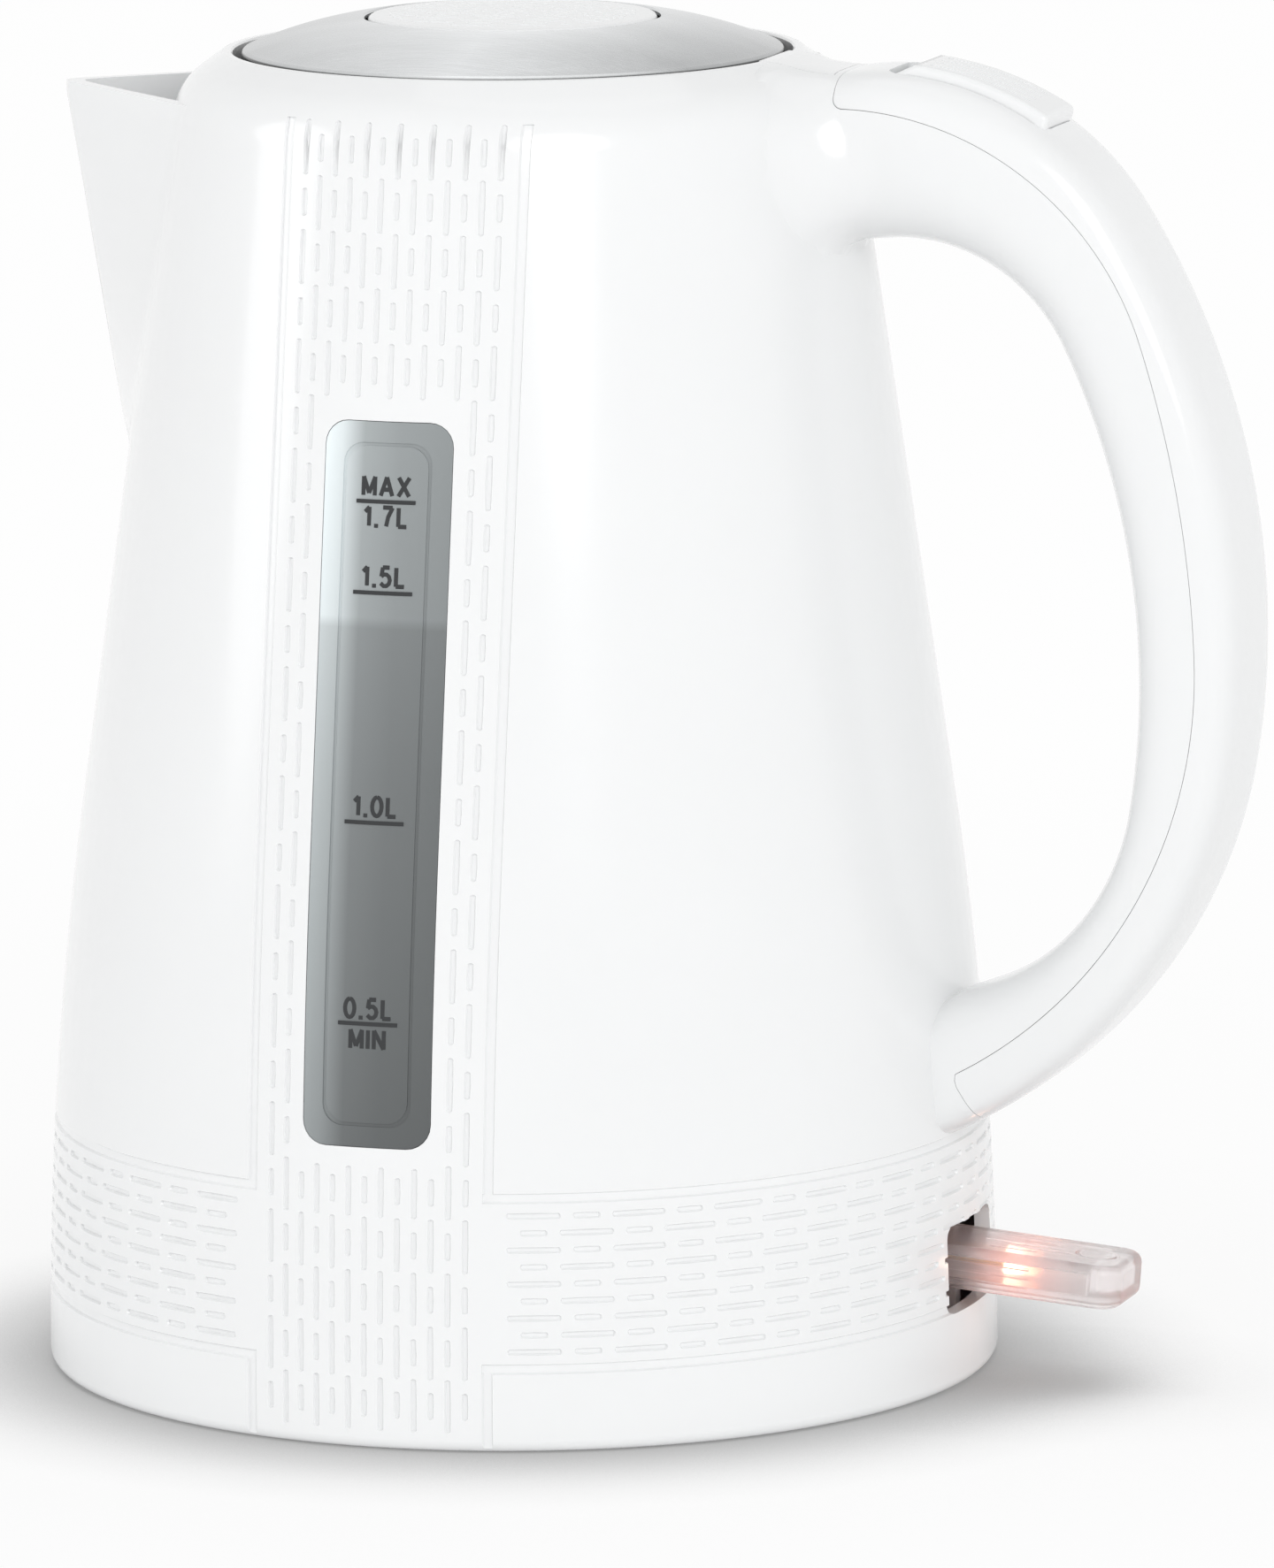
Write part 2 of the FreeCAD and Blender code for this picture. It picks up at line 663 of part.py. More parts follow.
def make_jug(shell, cover_region, tube_hole):
    """Jug moulding: side, collar and skirt, with the beak and the inner half of the handle moulded on."""
    solid = turned("jug_solid", [
        ("0", "0"), ("base_radius - foot_chamfer", "0"),
        (skirt_radius("foot_chamfer"), "foot_chamfer", ("left", "side_bend_radius")), knee(),
        ("side_top_radius", "side_top", ("left", "shoulder_radius")),
        ("shoulder_end_radius", "shoulder_end_height"), ("rim_outer", "rim_height"), ("0", "rim_height")])
    inner_bend = ("left", "side_bend_radius - wall")
    above = "rim_height + wall"
    water = turned("water_space", [
        ("0", "flange_top"), (skirt_radius("flange_top", "wall"), "flange_top", inner_bend), knee("wall"),
        (side_radius("ledge_bottom", "wall"), "ledge_bottom"), ("ledge_radius", "ledge_bottom"),
        ("ledge_radius", "ledge_top"), ("mouth_radius", "ledge_top"), ("mouth_radius", above), ("0",
                above)])
    plate_hole = drum("plate_hole", "skirt_inside - flange_width", "flange_bottom", "flange_top")
    skirt = turned("skirt_space", [
        ("0", "0"), ("skirt_inside", "0", inner_bend),
        (skirt_radius("flange_bottom", "wall"), "flange_bottom"), ("0", "flange_bottom")])
    slot = slab("lever_slot", "YZ", rectangle("-slot_half", "slot_half", "slot_bottom", "slot_top",
                                              "slot_corner"),
                "base_radius", "pivot_x")
    beak_opening = shared("beak_opening", beak_window("beak_opening_prism", "0"), solid)
    hollow = cut("jug_hollow", solid, water, plate_hole, skirt, beak_opening,
                 window_prism("window_opening", "0"), slot)
    neck = block("hinge_block", ("mouth_radius", "latch_front"), ("-hinge_block_half", "hinge_block_half"),
                 (down("hinge_block_drop"), down("neck_drop")))
    bed = block("latch_bed", ("latch_front", out("bed_end_out")),
                ("-handle_half + handle_wall / 2", "handle_half - handle_wall / 2"),
                ("bed_top - bed_thick", "bed_top"))
    rails = [block(f"latch_rail_{side}", ("latch_front", out("bed_end_out")), reach,
                   ("bed_top", "bed_top + latch_bar"))
             for side, reach in (("near", ("-latch_half - side_gap - wall", "-latch_half - side_gap")),
                                 ("far", ("latch_half + side_gap", "latch_half + side_gap + wall")))]
    bracket = block("tube_bracket", (side_radius("tube_bracket_height", "tube_top_in + tube_bracket_half"),
                                     side_radius("tube_bracket_height", "wall / 2")),
                    ("-tube_bracket_half", "tube_bracket_half"),
                    ("tube_bracket_height - tube_bracket_thick", "tube_bracket_height"))
    base_bosses = [drum(f"base_boss_{i}", "base_boss_radius", "base_plate_top",
                        "base_plate_top + base_boss_length", x, y)
                   for i, (x, y) in enumerate(around("base_screw_count", inward("base_boss_in"), "45"))]
    clamp_bosses = [drum(f"clamp_boss_{i}", "clamp_boss_radius", "plate_bottom", "flange_bottom", x, y)
                    for i, (x, y) in enumerate(clamp_places())]
    inside = shared("base_bosses", fused("base_boss_set", *base_bosses), solid)
    whole = fused("jug_whole", hollow, shared("neck_inside", neck, solid), bracket, inside, *clamp_bosses)
    pocket = block("hinge_pocket", ("hinge_x - tail_swing", "pocket_back"),
                   ("-knuckle_half - hinge_side_gap", "knuckle_half + hinge_side_gap"),
                   (down("hinge_pocket_drop"), above))
    pass_through = block("arm_gap", ("mouth_radius - rim_width", "hinge_x"),
                         ("-knuckle_half - hinge_side_gap", "knuckle_half + hinge_side_gap"),
                         (down("hinge_front_drop"), above))
    pin_hole = crossbar("hinge_pin_hole", "hinge_pin_radius + fit_gap / 2", "hinge_block_half - wall / 2",
                        "hinge_x", "hinge_z")
    clamp_holes = [drum(f"clamp_hole_{i}", "screw_radius + fit_gap", "plate_bottom",
                        "plate_bottom + screw_grip", x, y)
                   for i, (x, y) in enumerate(clamp_places())]
    base_holes = [drum(f"base_hole_{i}", "screw_radius + fit_gap", "base_plate_top",
                       "base_plate_top + screw_grip", x, y)
                  for i, (x, y) in enumerate(around("base_screw_count", inward("base_boss_in"), "45"))]
    keep("jug_body", cut("jug_body", whole, pocket, pass_through, pin_hole, tube_hole, *clamp_holes,
                         *base_holes))
    keep("jug_beak", cut("jug_beak", beak("beak_outer", "0", "beak_low_height", "beak_low_overhang",
                                          "beak_rim"), solid,
                         beak("beak_inner", "wall", "beak_hollow_height", "beak_hollow_overhang",
                              "beak_rim + wall")))
    channel = fused("grip_blank", cut("handle_channel", shell, cover_region), neck, bed, *rails)
    keep("handle_grip", cut("handle_grip", channel, solid, pocket, pass_through, pin_hole))


def clamp_places():
    return around("clamp_screw_count", "skirt_inside - clamp_screw_in", "30")


def make_handle_cover(shell, cover_region):
    """Outer half of the handle, with the opening that the button rises through."""
    opening = button_frame(block("button_opening",
                                 ("-button_long_half - button_gap", "button_long_half + button_gap"),
                                 ("-button_wide_half - button_gap", "button_wide_half + button_gap"),
                                 ("-handle_half", "handle_half")))
    keep("handle_cover", cut("handle_cover", shared("cover_shell", shell, cover_region), opening))


def make_windows():
    """Level windows: a pane flush with the wall and a flange behind it."""
    pane = shared("window_pane", wall_ring("pane_ring", "seat_gap", "wall", "flange_top", "side_top"),
                  window_prism("pane_prism", "-seat_gap"))
    flange = shared("window_flange_ring",
                    wall_ring("flange_ring", "wall + seat_gap", "wall + window_flange_thick",
                                                    "flange_top", "side_top"),
                    window_prism("flange_prism", "window_flange"))
    bridge = shared("window_bridge", wall_ring("bridge_ring", "wall - seat_gap",
                                               "wall + window_flange_thick",
                                               "flange_top", "side_top"),
                    window_prism("bridge_prism", "-seat_gap"))
    both = fused("window_pair", pane, flange, bridge)
    for name, reach in (("water_window_front", ("-base_radius", "0")),
                        ("water_window_back", ("0", "base_radius"))):
        half = block(name + "_half", ("-base_radius", "base_radius"), reach, ("0", "rim_height"))
        keep(name, shared(name, both, half))


def make_filter():
    """Pouring filter in the wall behind the beak: a rim and a slotted sheet."""
    frame = shared("filter_blank", wall_ring("filter_ring", "side_gap", "side_gap + filter_thick",
                                             "flange_top", "side_top"),
                   beak_window("filter_prism", "seat_gap"))
    keep("filter_frame", cut("filter_frame", frame, beak_window("filter_hole", "filter_rim")))
    sheet_depth = "side_gap + filter_thick / 2"
    mesh = shared("mesh_blank", wall_ring("mesh_ring", sheet_depth, sheet_depth + " + mesh_thick",
                                          "flange_top", "side_top"),
                  beak_window("mesh_prism", "filter_rim + fit_gap"))
    slots = []
    margin = "(filter_rim + mesh_bar)"
    rise = f"(beak_open_top - beak_open_bottom - 2 * {margin})"
    for row in range(int(value(f"{rise} / mesh_pitch"))):
        low = f"beak_open_bottom + {margin} + {row} * mesh_pitch"
        share = f"({row} * mesh_pitch / {rise})"
        half = f"(beak_open_bottom_half + (beak_open_top_half - beak_open_bottom_half) * {share} - {margin})"
        columns = int(value(f"{half} / mesh_pitch"))
        for column in range(-columns, columns):
            left = f"{column} * mesh_pitch"
            slots.append(block(f"mesh_slot_{row}_{column + columns}", ("-base_radius", "0"),
                               (left, left + " + mesh_pitch - mesh_bar"), (low,
                                       low + " + mesh_pitch - mesh_bar")))
    keep("filter_mesh", cut("filter_mesh", mesh, group("mesh_slots", *slots)))


def make_lid():
    """Lid: moulded shell with hinge knuckle, steel cap, centre disc, liner, seal and screws."""
    lid_flange = "lid_radius - cap_thick / 2"
    plug_inner = "plug_radius - lid_plug_wall"
    boss_inner = "lid_boss_radius - lid_boss_wall"
    bowl = turned("lid_bowl", [
        ("0", "lid_flange_bottom"), (plug_inner, "lid_flange_bottom"), (plug_inner, "plug_bottom"),
        ("plug_radius", "plug_bottom"), ("plug_radius", "lid_flange_bottom"), (lid_flange,
                "lid_flange_bottom"),
        (lid_flange, "lid_flange_top"), ("lid_boss_radius", "lid_flange_top"), ("lid_boss_radius",
                "lid_boss_top"),
        (boss_inner, "lid_boss_top"), (boss_inner, "lid_flange_top"), ("0", "lid_flange_top")])
    arm = block("lid_arm", ("lid_boss_radius", "hinge_x"), ("-knuckle_half", "knuckle_half"),
                ("lid_flange_bottom", "lid_flange_top"))
    knuckle = block("lid_knuckle", ("lid_radius + hinge_side_gap", "hinge_x + knuckle_tail"),
                    ("-knuckle_half", "knuckle_half"), ("lid_flange_bottom",
                            "hinge_z + knuckle_radius - side_gap"))
    barrel = crossbar("lid_barrel", "knuckle_radius", "knuckle_half", "hinge_x", "hinge_z")
    liner_top = "plug_bottom + liner_thick + seat_gap"
    spots = around("leg_count", "lid_screw_circle", "60")
    pillars = [drum(f"lid_pillar_{i}", "lid_pillar_radius", liner_top, "lid_flange_bottom", x, y)
               for i, (x, y) in enumerate(spots)]
    holes = [drum(f"lid_hole_{i}", "screw_radius + fit_gap", liner_top, f"{liner_top} + screw_grip", x, y)
             for i, (x, y) in enumerate(spots)]
    bore = crossbar("knuckle_bore", "hinge_pin_radius + fit_gap", "hinge_block_half", "hinge_x", "hinge_z")
    keep("lid_shell", cut("lid_shell", fused("lid_moulding", bowl, arm, knuckle, barrel, *pillars), bore,
                          *holes))
    edge = "rim_height - cap_edge_drop"
    crown = "rim_height + cap_crown_rise"
    hole = "disc_radius + disc_gap"
    keep("lid_cap", turned("lid_cap", [
        ("lid_radius - cap_thick", "lid_flange_top"), ("lid_radius", "lid_flange_top"),
        ("lid_radius", edge, ("left", "cap_dome_radius")), (hole, crown), (hole, "lid_boss_top"),
        ("lid_boss_radius", "lid_boss_top"),
        ("lid_boss_radius", f"{crown} - cap_thick", ("right", "cap_dome_radius - cap_thick")),
        ("lid_radius - cap_thick", f"{edge} - cap_thick")]))
    keep("lid_disc", turned("lid_disc", [
        ("0", "lid_boss_top"), ("disc_radius", "lid_boss_top"), ("disc_radius",
                "rim_height + disc_edge_rise"),
        ("0", "rim_height + disc_crown_rise")]))
    liner = drum("liner_disc", f"{plug_inner} - seat_gap", "plug_bottom", "plug_bottom + liner_thick")
    liner_holes = [drum(f"liner_hole_{i}", "screw_radius + screw_gap", "plug_bottom", liner_top, x, y)
                   for i, (x, y) in enumerate(spots)]
    keep("lid_liner", cut("lid_liner", liner, *liner_holes))
    keep("lid_seal", ring("lid_seal", "plug_radius + fit_gap", "plug_radius + seal_width",
                          "lid_flange_bottom - seal_thick", "lid_flange_bottom"))
    keep("lid_screws", group("lid_screws", *[screw(f"lid_screw_{i}", x, y, "plug_bottom",
                                                   f"{liner_top} + screw_grip - fit_gap")
                                             for i, (x, y) in enumerate(spots)]))


def make_hinge():
    """Hinge pin, held in the side walls of the neck."""
    keep("hinge_pin", crossbar("hinge_pin", "hinge_pin_radius", "hinge_block_half - wall / 2", "hinge_x",
                               "hinge_z"))


def make_button_and_latch():
    """Handle button with its retaining flange and ramp, the latch that it draws back, and their springs."""
    crown = ("right", "button_crown_radius")
    end_height = "(button_proud - button_long_half^2 / (2 * button_crown_radius))"
    cap = slab("button_cap", "XZ", [("-button_long_half", "-button_flange_depth"), ("-button_long_half",
            end_height, crown),
                                    ("button_long_half", end_height), ("button_long_half",
                                            "-button_flange_depth")],
               "2 * button_wide_half")
    lip_long = "button_long_half + button_flange_lip"
    lip_wide = "button_wide_half + button_flange_lip"
    flange_low = "(-button_flange_depth - button_flange_thick)"
    lip = block("button_flange", (f"-({lip_long})", lip_long), (f"-({lip_wide})", lip_wide),
                (flange_low, "-button_flange_depth"))
    ramp_foot_x = "button_x - latch_ramp_in"
    bar_top = "(bed_top + seat_gap + latch_bar)"
    latch_top = f"({bar_top} + latch_rise)"
    nose_top = down("latch_nose_drop")
    end = out("latch_end_out")
    nose_front = "(latch_front + side_gap)"
    keep("lid_latch", slab("lid_latch", "XZ", [
        (nose_front, "bed_top + seat_gap + latch_toe"), (f"{nose_front} + latch_toe", "bed_top + seat_gap"),
        (end, "bed_top + seat_gap"), (end, latch_top),
        (f"{ramp_foot_x} + latch_rise", latch_top), (ramp_foot_x, bar_top), (f"{nose_front} + latch_nose",
                bar_top),
        (f"{nose_front} + latch_nose", nose_top), (nose_front, nose_top)], "2 * latch_half"))
    ramp_gap = "side_gap / cos(45)"
    stem_top = "(button_z - (button_flange_depth + button_flange_thick / 2) / cos(button_tilt))"
    ramp_low_x = f"({ramp_foot_x} + latch_ramp_start)"
    ramp_low_z = f"({bar_top} + {ramp_gap} + latch_ramp_start)"
    ramp = slab("button_ramp", "XZ", [
        (f"{ramp_low_x} - latch_bar", ramp_low_z), (ramp_low_x, ramp_low_z),
        (f"{ramp_foot_x} + latch_rise", f"{latch_top} + {ramp_gap}"), (f"{ramp_foot_x} + latch_rise",
                stem_top),
        (f"{ramp_low_x} - latch_bar", stem_top)], "2 * latch_half")
    keep("lid_button", fused("lid_button", button_frame(cap), button_frame(lip), ramp))


def make_springs():
    """Leaf springs under the button and behind the latch, and the lid's spring beside its knuckle."""
    foot_x = "button_x - button_long_half / 2"
    top_z = ("(button_z + button_long_half / 2 * sin(button_tilt)"
             " - (button_flange_depth + button_flange_thick + seat_gap) / cos(button_tilt))")
    leaves = []
    for side in ("near", "far"):
        leaf = slab(f"button_leaf_{side}", "XZ", [
            (f"{foot_x} - 3 * leaf_half", "bed_top"), (f"{foot_x} - 3 * leaf_half + leaf_thick", "bed_top"),
            (foot_x, top_z), (f"{foot_x} - leaf_thick", top_z)], "leaf_half")
        sign = "-" if side == "near" else "+"
        leaves.append(place(leaf, y=f"{sign}(latch_half + side_gap + wall + seat_gap + leaf_half / 2)"))
    keep("button_spring", group("button_spring", *leaves))
    keep("latch_spring", slab("latch_spring", "XZ", [
        (out("latch_end_out + seat_gap"), "bed_top + latch_bar / 2"), (out("bed_end_out"), "bed_top"),
        (out("bed_end_out"), "bed_top + leaf_thick"),
        (out("latch_end_out + seat_gap"), "bed_top + latch_bar / 2 + leaf_thick")], "2 * leaf_half"))
    keep("lid_spring", block("lid_spring", ("hinge_x + knuckle_radius / 2", "pocket_back"), ("-leaf_half",
            "leaf_half"),
                             (down("hinge_pocket_drop"), f"{down('hinge_pocket_drop')} + leaf_thick")))


def make_steam_tube():
    """Steam tube down the handle side of the jug, with its seal in the heating plate."""
    keep("steam_tube", cut("steam_tube", tube_axis("tube_outside", "tube_radius"),
                           tube_axis("tube_inside", "tube_bore", "wall", "wall")))
    blank = drum("tube_seal_blank", "tube_seal_radius", "plate_top", "plate_top + tube_seal_thick",
                 tube_at("plate_top"))
    keep("steam_tube_seal", cut("steam_tube_seal", blank, tube_axis("tube_seal_hole",
            "tube_radius + fit_gap", "wall", "wall")))


def tube_at(height):
    """Place of the steam tube's axis at a height."""
    top_x = side_radius("tube_top_height", "tube_top_in")
    share = f"(({height} - tube_low_height) / (tube_top_height - tube_low_height))"
    return f"(tube_low_x + ({top_x} - tube_low_x) * {share})"


def make_heating():
    """Heating plate with spreader and sheathed element, sealed and clamped under the jug's flange."""
    plate_radius = "skirt_inside - plate_margin"
    tube_clear = tube_axis("plate_tube_hole", "tube_radius + screw_gap", "wall", "wall")
    keep("element_plate", cut("element_plate", drum("plate_disc", plate_radius, "plate_bottom",
                                                    "plate_top"), tube_clear))
    keep("element_seal", ring("element_seal", "skirt_inside - flange_width + side_gap", plate_radius,
                              "plate_top", "flange_bottom"))
    bosses = [drum(f"leg_boss_{i}", "leg_boss_radius", "leg_top", "spreader_bottom", x, y)
              for i, (x, y) in enumerate(around("leg_count", "leg_circle", "60"))]
    threads = [drum(f"leg_thread_{i}", "screw_radius + fit_gap", "leg_top", "leg_top + screw_grip", x, y)
               for i, (x, y) in enumerate(around("leg_count", "leg_circle", "60"))]
    spreader = fused("spreader_blank", drum("spreader_disc", "spreader_radius", "spreader_bottom",
                                            "plate_bottom"), *bosses)
    keep("heat_spreader", cut("heat_spreader", spreader, *threads))
    coil = bind(doc.addObject("Part::Torus", "element_coil"), Radius1="element_circle",
                Radius2="element_tube",
                Angle3="element_sweep")
    coil_height = "(spreader_bottom - element_tube)"
    coil.Placement.Rotation = FreeCAD.Rotation(FreeCAD.Vector(0, 0, 1), -value("element_sweep / 2"))
    place(coil, z=coil_height)
    tails = [drum(f"element_tail_{i}", "element_tail_radius", f"{coil_height} - element_tail_length",
                  coil_height,
                  "element_circle * cos(element_sweep / 2)", f"{sign} element_circle * sin(element_sweep / 2)")
             for i, sign in enumerate("+-")]
    keep("heating_element", fused("heating_element", coil, *tails))
    clamp = ring("clamp_blank", "skirt_inside - flange_width + side_gap", "skirt_inside - clamp_edge_gap",
                 "clamp_bottom", "plate_bottom")
    clamp_holes = [drum(f"clamp_clearance_{i}", "screw_radius + screw_gap", "clamp_bottom", "plate_bottom",
                        x, y)
                   for i, (x, y) in enumerate(clamp_places())]
    keep("plate_clamp_ring", cut("plate_clamp_ring", clamp, *clamp_holes))
    keep("clamp_screws", group("clamp_screws", *[
        screw(f"clamp_screw_{i}", x, y, "clamp_bottom", "plate_bottom + screw_grip - fit_gap")
        for i, (x, y) in enumerate(clamp_places())]))


def make_control():
    """Control under the plate, with the round connector's contacts and its two trip discs."""
    case = turned("control_case", [
        ("0", "contact_recess_top"), ("contact_recess_radius", "contact_recess_top"),
        ("contact_recess_radius", "socket_top + seat_gap"), ("control_radius", "socket_top + seat_gap"),
        ("control_radius", "control_top"), ("0", "control_top")])
    legs = []
    clearances = []
    for i, (x, y) in enumerate(around("leg_count", "leg_circle", "60")):
        leg = block(f"control_leg_{i}", ("control_radius - leg_half", "leg_circle + leg_half"),
                    ("-leg_half", "leg_half"), ("leg_bottom", "leg_top"))
        turn = 60 + i * 360 / value("leg_count")
        stand = group(f"control_leg_stand_{i}", leg)
        stand.Placement.Rotation = FreeCAD.Rotation(FreeCAD.Vector(0, 0, 1), turn)
        legs.append(stand)
        clearances.append(drum(f"leg_clearance_{i}", "screw_radius + screw_gap", "leg_bottom", "leg_top", x,
                               y))
    keep("control_body", cut("control_body", fused("control_blank", case, *legs), *clearances))
    keep("control_screws", group("control_screws", *[
        screw(f"control_screw_{i}", x, y, "leg_bottom", "leg_top + screw_grip - fit_gap")
        for i, (x, y) in enumerate(around("leg_count", "leg_circle", "60"))]))
    keep("contact_rings", group("contact_rings", *[
        ring(f"contact_ring_{size}", f"{size}_ring_radius - ring_wall", f"{size}_ring_radius",
             "contact_bottom",
             "contact_recess_top") for size in ("outer", "inner")]))
    keep("live_pin", drum("live_pin", "live_pin_radius", "contact_bottom", "contact_recess_top"))
    keep("dry_boil_discs", group("dry_boil_discs", *[
        drum(f"dry_disc_{i}", "dry_disc_radius", "control_top", "control_top + disc_plate_thick", "0",
             f"{sign} dry_disc_offset")
        for i, sign in enumerate("+-")]))
    end = "(pivot_x - toggle_setback - side_gap)"
    keep("contact_blade", slab("contact_blade", "XZ", [
        ("control_radius + fit_gap", "blade_height"), (f"{end} - blade_thick", "blade_height"),
        (f"{end} - blade_thick", "floor_top"), (end, "floor_top"), (end, "blade_height + blade_thick"),
        ("control_radius + fit_gap", "blade_height + blade_thick")], "2 * blade_half"))


def make_base_cover():
    """Cover under the skirt, with the round socket that a power base's connector enters."""
    rim = "skirt_inside - side_gap"
    disc = turned("base_cover_blank", [
        ("socket_radius", "socket_bottom"), ("socket_radius + socket_wall", "socket_bottom"),
        ("socket_radius + socket_wall", "base_plate_bottom"), (rim, "base_plate_bottom"), (rim,
                "base_plate_top"),
        ("socket_radius + socket_wall", "base_plate_top"), ("socket_radius + socket_wall", "socket_top"),
        ("socket_radius", "socket_top")])
    spots = around("base_screw_count", inward("base_boss_in"), "45") + housing_places()
    holes = [drum(f"cover_hole_{i}", "screw_radius + screw_gap", "base_plate_bottom", "base_plate_top", x,
                  y)
             for i, (x, y) in enumerate(spots)]
    keep("base_cover", cut("base_cover", disc, *holes))
    keep("base_cover_screws", group("base_cover_screws", *[
        screw(f"base_screw_{i}", x, y, "base_plate_bottom", "base_plate_top + screw_grip - fit_gap")
        for i, (x, y) in enumerate(around("base_screw_count", inward("base_boss_in"), "45"))]))
    keep("housing_screws", group("housing_screws", *[
        screw(f"housing_screw_{i}", x, y, "base_plate_bottom", "floor_top - fit_gap")
        for i, (x, y) in enumerate(housing_places())]))


def housing_places():
    return [(f"pivot_x {sign} housing_screw_offset", "0") for sign in "+-"]


def make_switch():
    """Switch housing with the steam disc and toggle spring, and the clear lever that tips in it."""
    front, back = "pivot_x + cheek_front", "pivot_x - cheek_back"
    cheek_outer = "cheek_inner + cheek_thick"
    floor_plate = block("housing_floor_plate", (f"{back} - 2 * cheek_thick", front),
                        (f"-({cheek_outer})", cheek_outer),
                        ("base_plate_top", "floor_top"))
    cheeks = [block(f"housing_cheek_{i}", (back, front), reach,
                    ("base_plate_top", "bridge_height + bridge_thick"))
              for i, reach in enumerate(((f"-({cheek_outer})", "-(cheek_inner)"),
                                         ("cheek_inner", cheek_outer)))]
    bridge = block("housing_bridge", ("pivot_x - bridge_back", "pivot_x - bridge_front"),
                   (f"-({cheek_outer})", cheek_outer), ("bridge_height", "bridge_height + bridge_thick"))
    bores = crossbar("trunnion_bores", "trunnion_radius + fit_gap", f"{cheek_outer} + wall", "pivot_x",
                     "pivot_height")
    holes = [drum(f"housing_hole_{i}", "screw_radius + fit_gap", "base_plate_top", "floor_top", x, y)
             for i, (x, y) in enumerate(housing_places())]
    keep("switch_housing", cut("switch_housing", fused("housing_blank", floor_plate, *cheeks, bridge),
                               bores, *holes))
    keep("steam_disc", drum("steam_disc", "steam_disc_radius", "bridge_height + bridge_thick",
                            "bridge_height + bridge_thick + disc_plate_thick", "tube_low_x"))
    leaf_x = "pivot_x - toggle_setback"
    keep("toggle_spring", slab("toggle_spring", "XZ", [
        (leaf_x, "floor_top"), (f"{leaf_x} + leaf_thick", "floor_top"),
        (f"{leaf_x} + leaf_thick", "toggle_height - leaf_thick"), (f"{leaf_x} + toggle_finger",
                "toggle_height - leaf_thick"),
        (f"{leaf_x} + toggle_finger", "toggle_height"), (leaf_x, "toggle_height")], "2 * leaf_half"))
    half_thick = "lever_thick / 2"
    body = slab("lever_bar", "XY", rectangle("-lever_tail", "lever_length", "-lever_half", "lever_half",
                                             "lever_tip_round"),
                "lever_thick", f"-{half_thick}")
    doc.recompute()
    pad = body.Tip
    flat = [f"Edge{i}" for i, edge in enumerate(pad.Shape.Edges, start=1)
            if abs(edge.CenterOfMass.z) > value(half_thick) - 0.01]
    rounds = body.newObject("PartDesign::Fillet", "lever_rounds")
    rounds.Base = (pad, flat)
    bind(rounds, Radius="lever_edge_round")
    room = block("lever_room", ("-2 * lever_tail", "lever_length - lever_tip_wall"),
                 ("-lever_half + lever_wall", "lever_half - lever_wall"),
                 (f"-{half_thick} + lever_wall", f"{half_thick} - lever_wall"))
    trunnions = cut("lever_trunnions", crossbar("trunnion_bar", "trunnion_radius",
                                                "lever_half + trunnion_reach", "0", "0"),
                    block("trunnion_gap", ("-lever_tail", "lever_tail"),
                          ("-lever_half + lever_wall", "lever_half - lever_wall"),
                          ("-lever_tail", "lever_tail")))
    keep("switch_lever", lever_frame(fused("switch_lever", cut("lever_hollow", body, room), trunnions)))
    keep("lamp", lever_frame(group("lamp", along("lamp_bulb", "lamp_radius", "lamp_out",
                                                 "lamp_out + lamp_length", "0"))))
    keep("lamp_leads", lever_frame(group("lamp_leads", *[
        along(f"lamp_lead_{i}", "lead_radius", "-lever_tail", "lamp_out", f"{sign} lead_spacing")
        for i, sign in enumerate("+-")])))


def along(name, radius, start, end, y):
    """A cylinder along X between two places."""
    bar = bind(doc.addObject("Part::Cylinder", name), Radius=radius, Height=f"{end} - ({start})")
    bar.Placement.Rotation = FreeCAD.Rotation(ABOUT_Y, 90)
    return place(bar, start, y, "0")


def main():
    shell = handle_shell()
    cover_region = slab("cover_region", "XZ", cover_region_corners(), "4 * handle_half")
    make_jug(shell, cover_region, tube_axis("tube_path", "tube_radius + screw_gap", "wall", "wall"))
    make_handle_cover(shell, cover_region)
    make_windows()
    make_filter()
    make_lid()
    make_hinge()
    make_button_and_latch()
    make_springs()
    make_steam_tube()
    make_heating()
    make_control()
    make_base_cover()
    make_switch()
    doc.recompute()
    failed = [thing.Name for thing in doc.Objects if {"Invalid", "Error"} & set(thing.State)]
    if failed:
        raise RuntimeError(f"these objects failed: {failed}")
    for name, thing in nodes.items():
        if thing.Shape.isNull() or not thing.Shape.isValid() or not thing.Shape.Solids:
            raise RuntimeError(f"{name} has no valid solid")
    os.makedirs("parts", exist_ok=True)
    for name, thing in nodes.items():
        thing.Shape.exportStep(f"parts/{name}.step")
        print(f"{name}: {len(thing.Shape.Solids)} solid(s), {thing.Shape.Volume:.0f} cubic mm")


main()
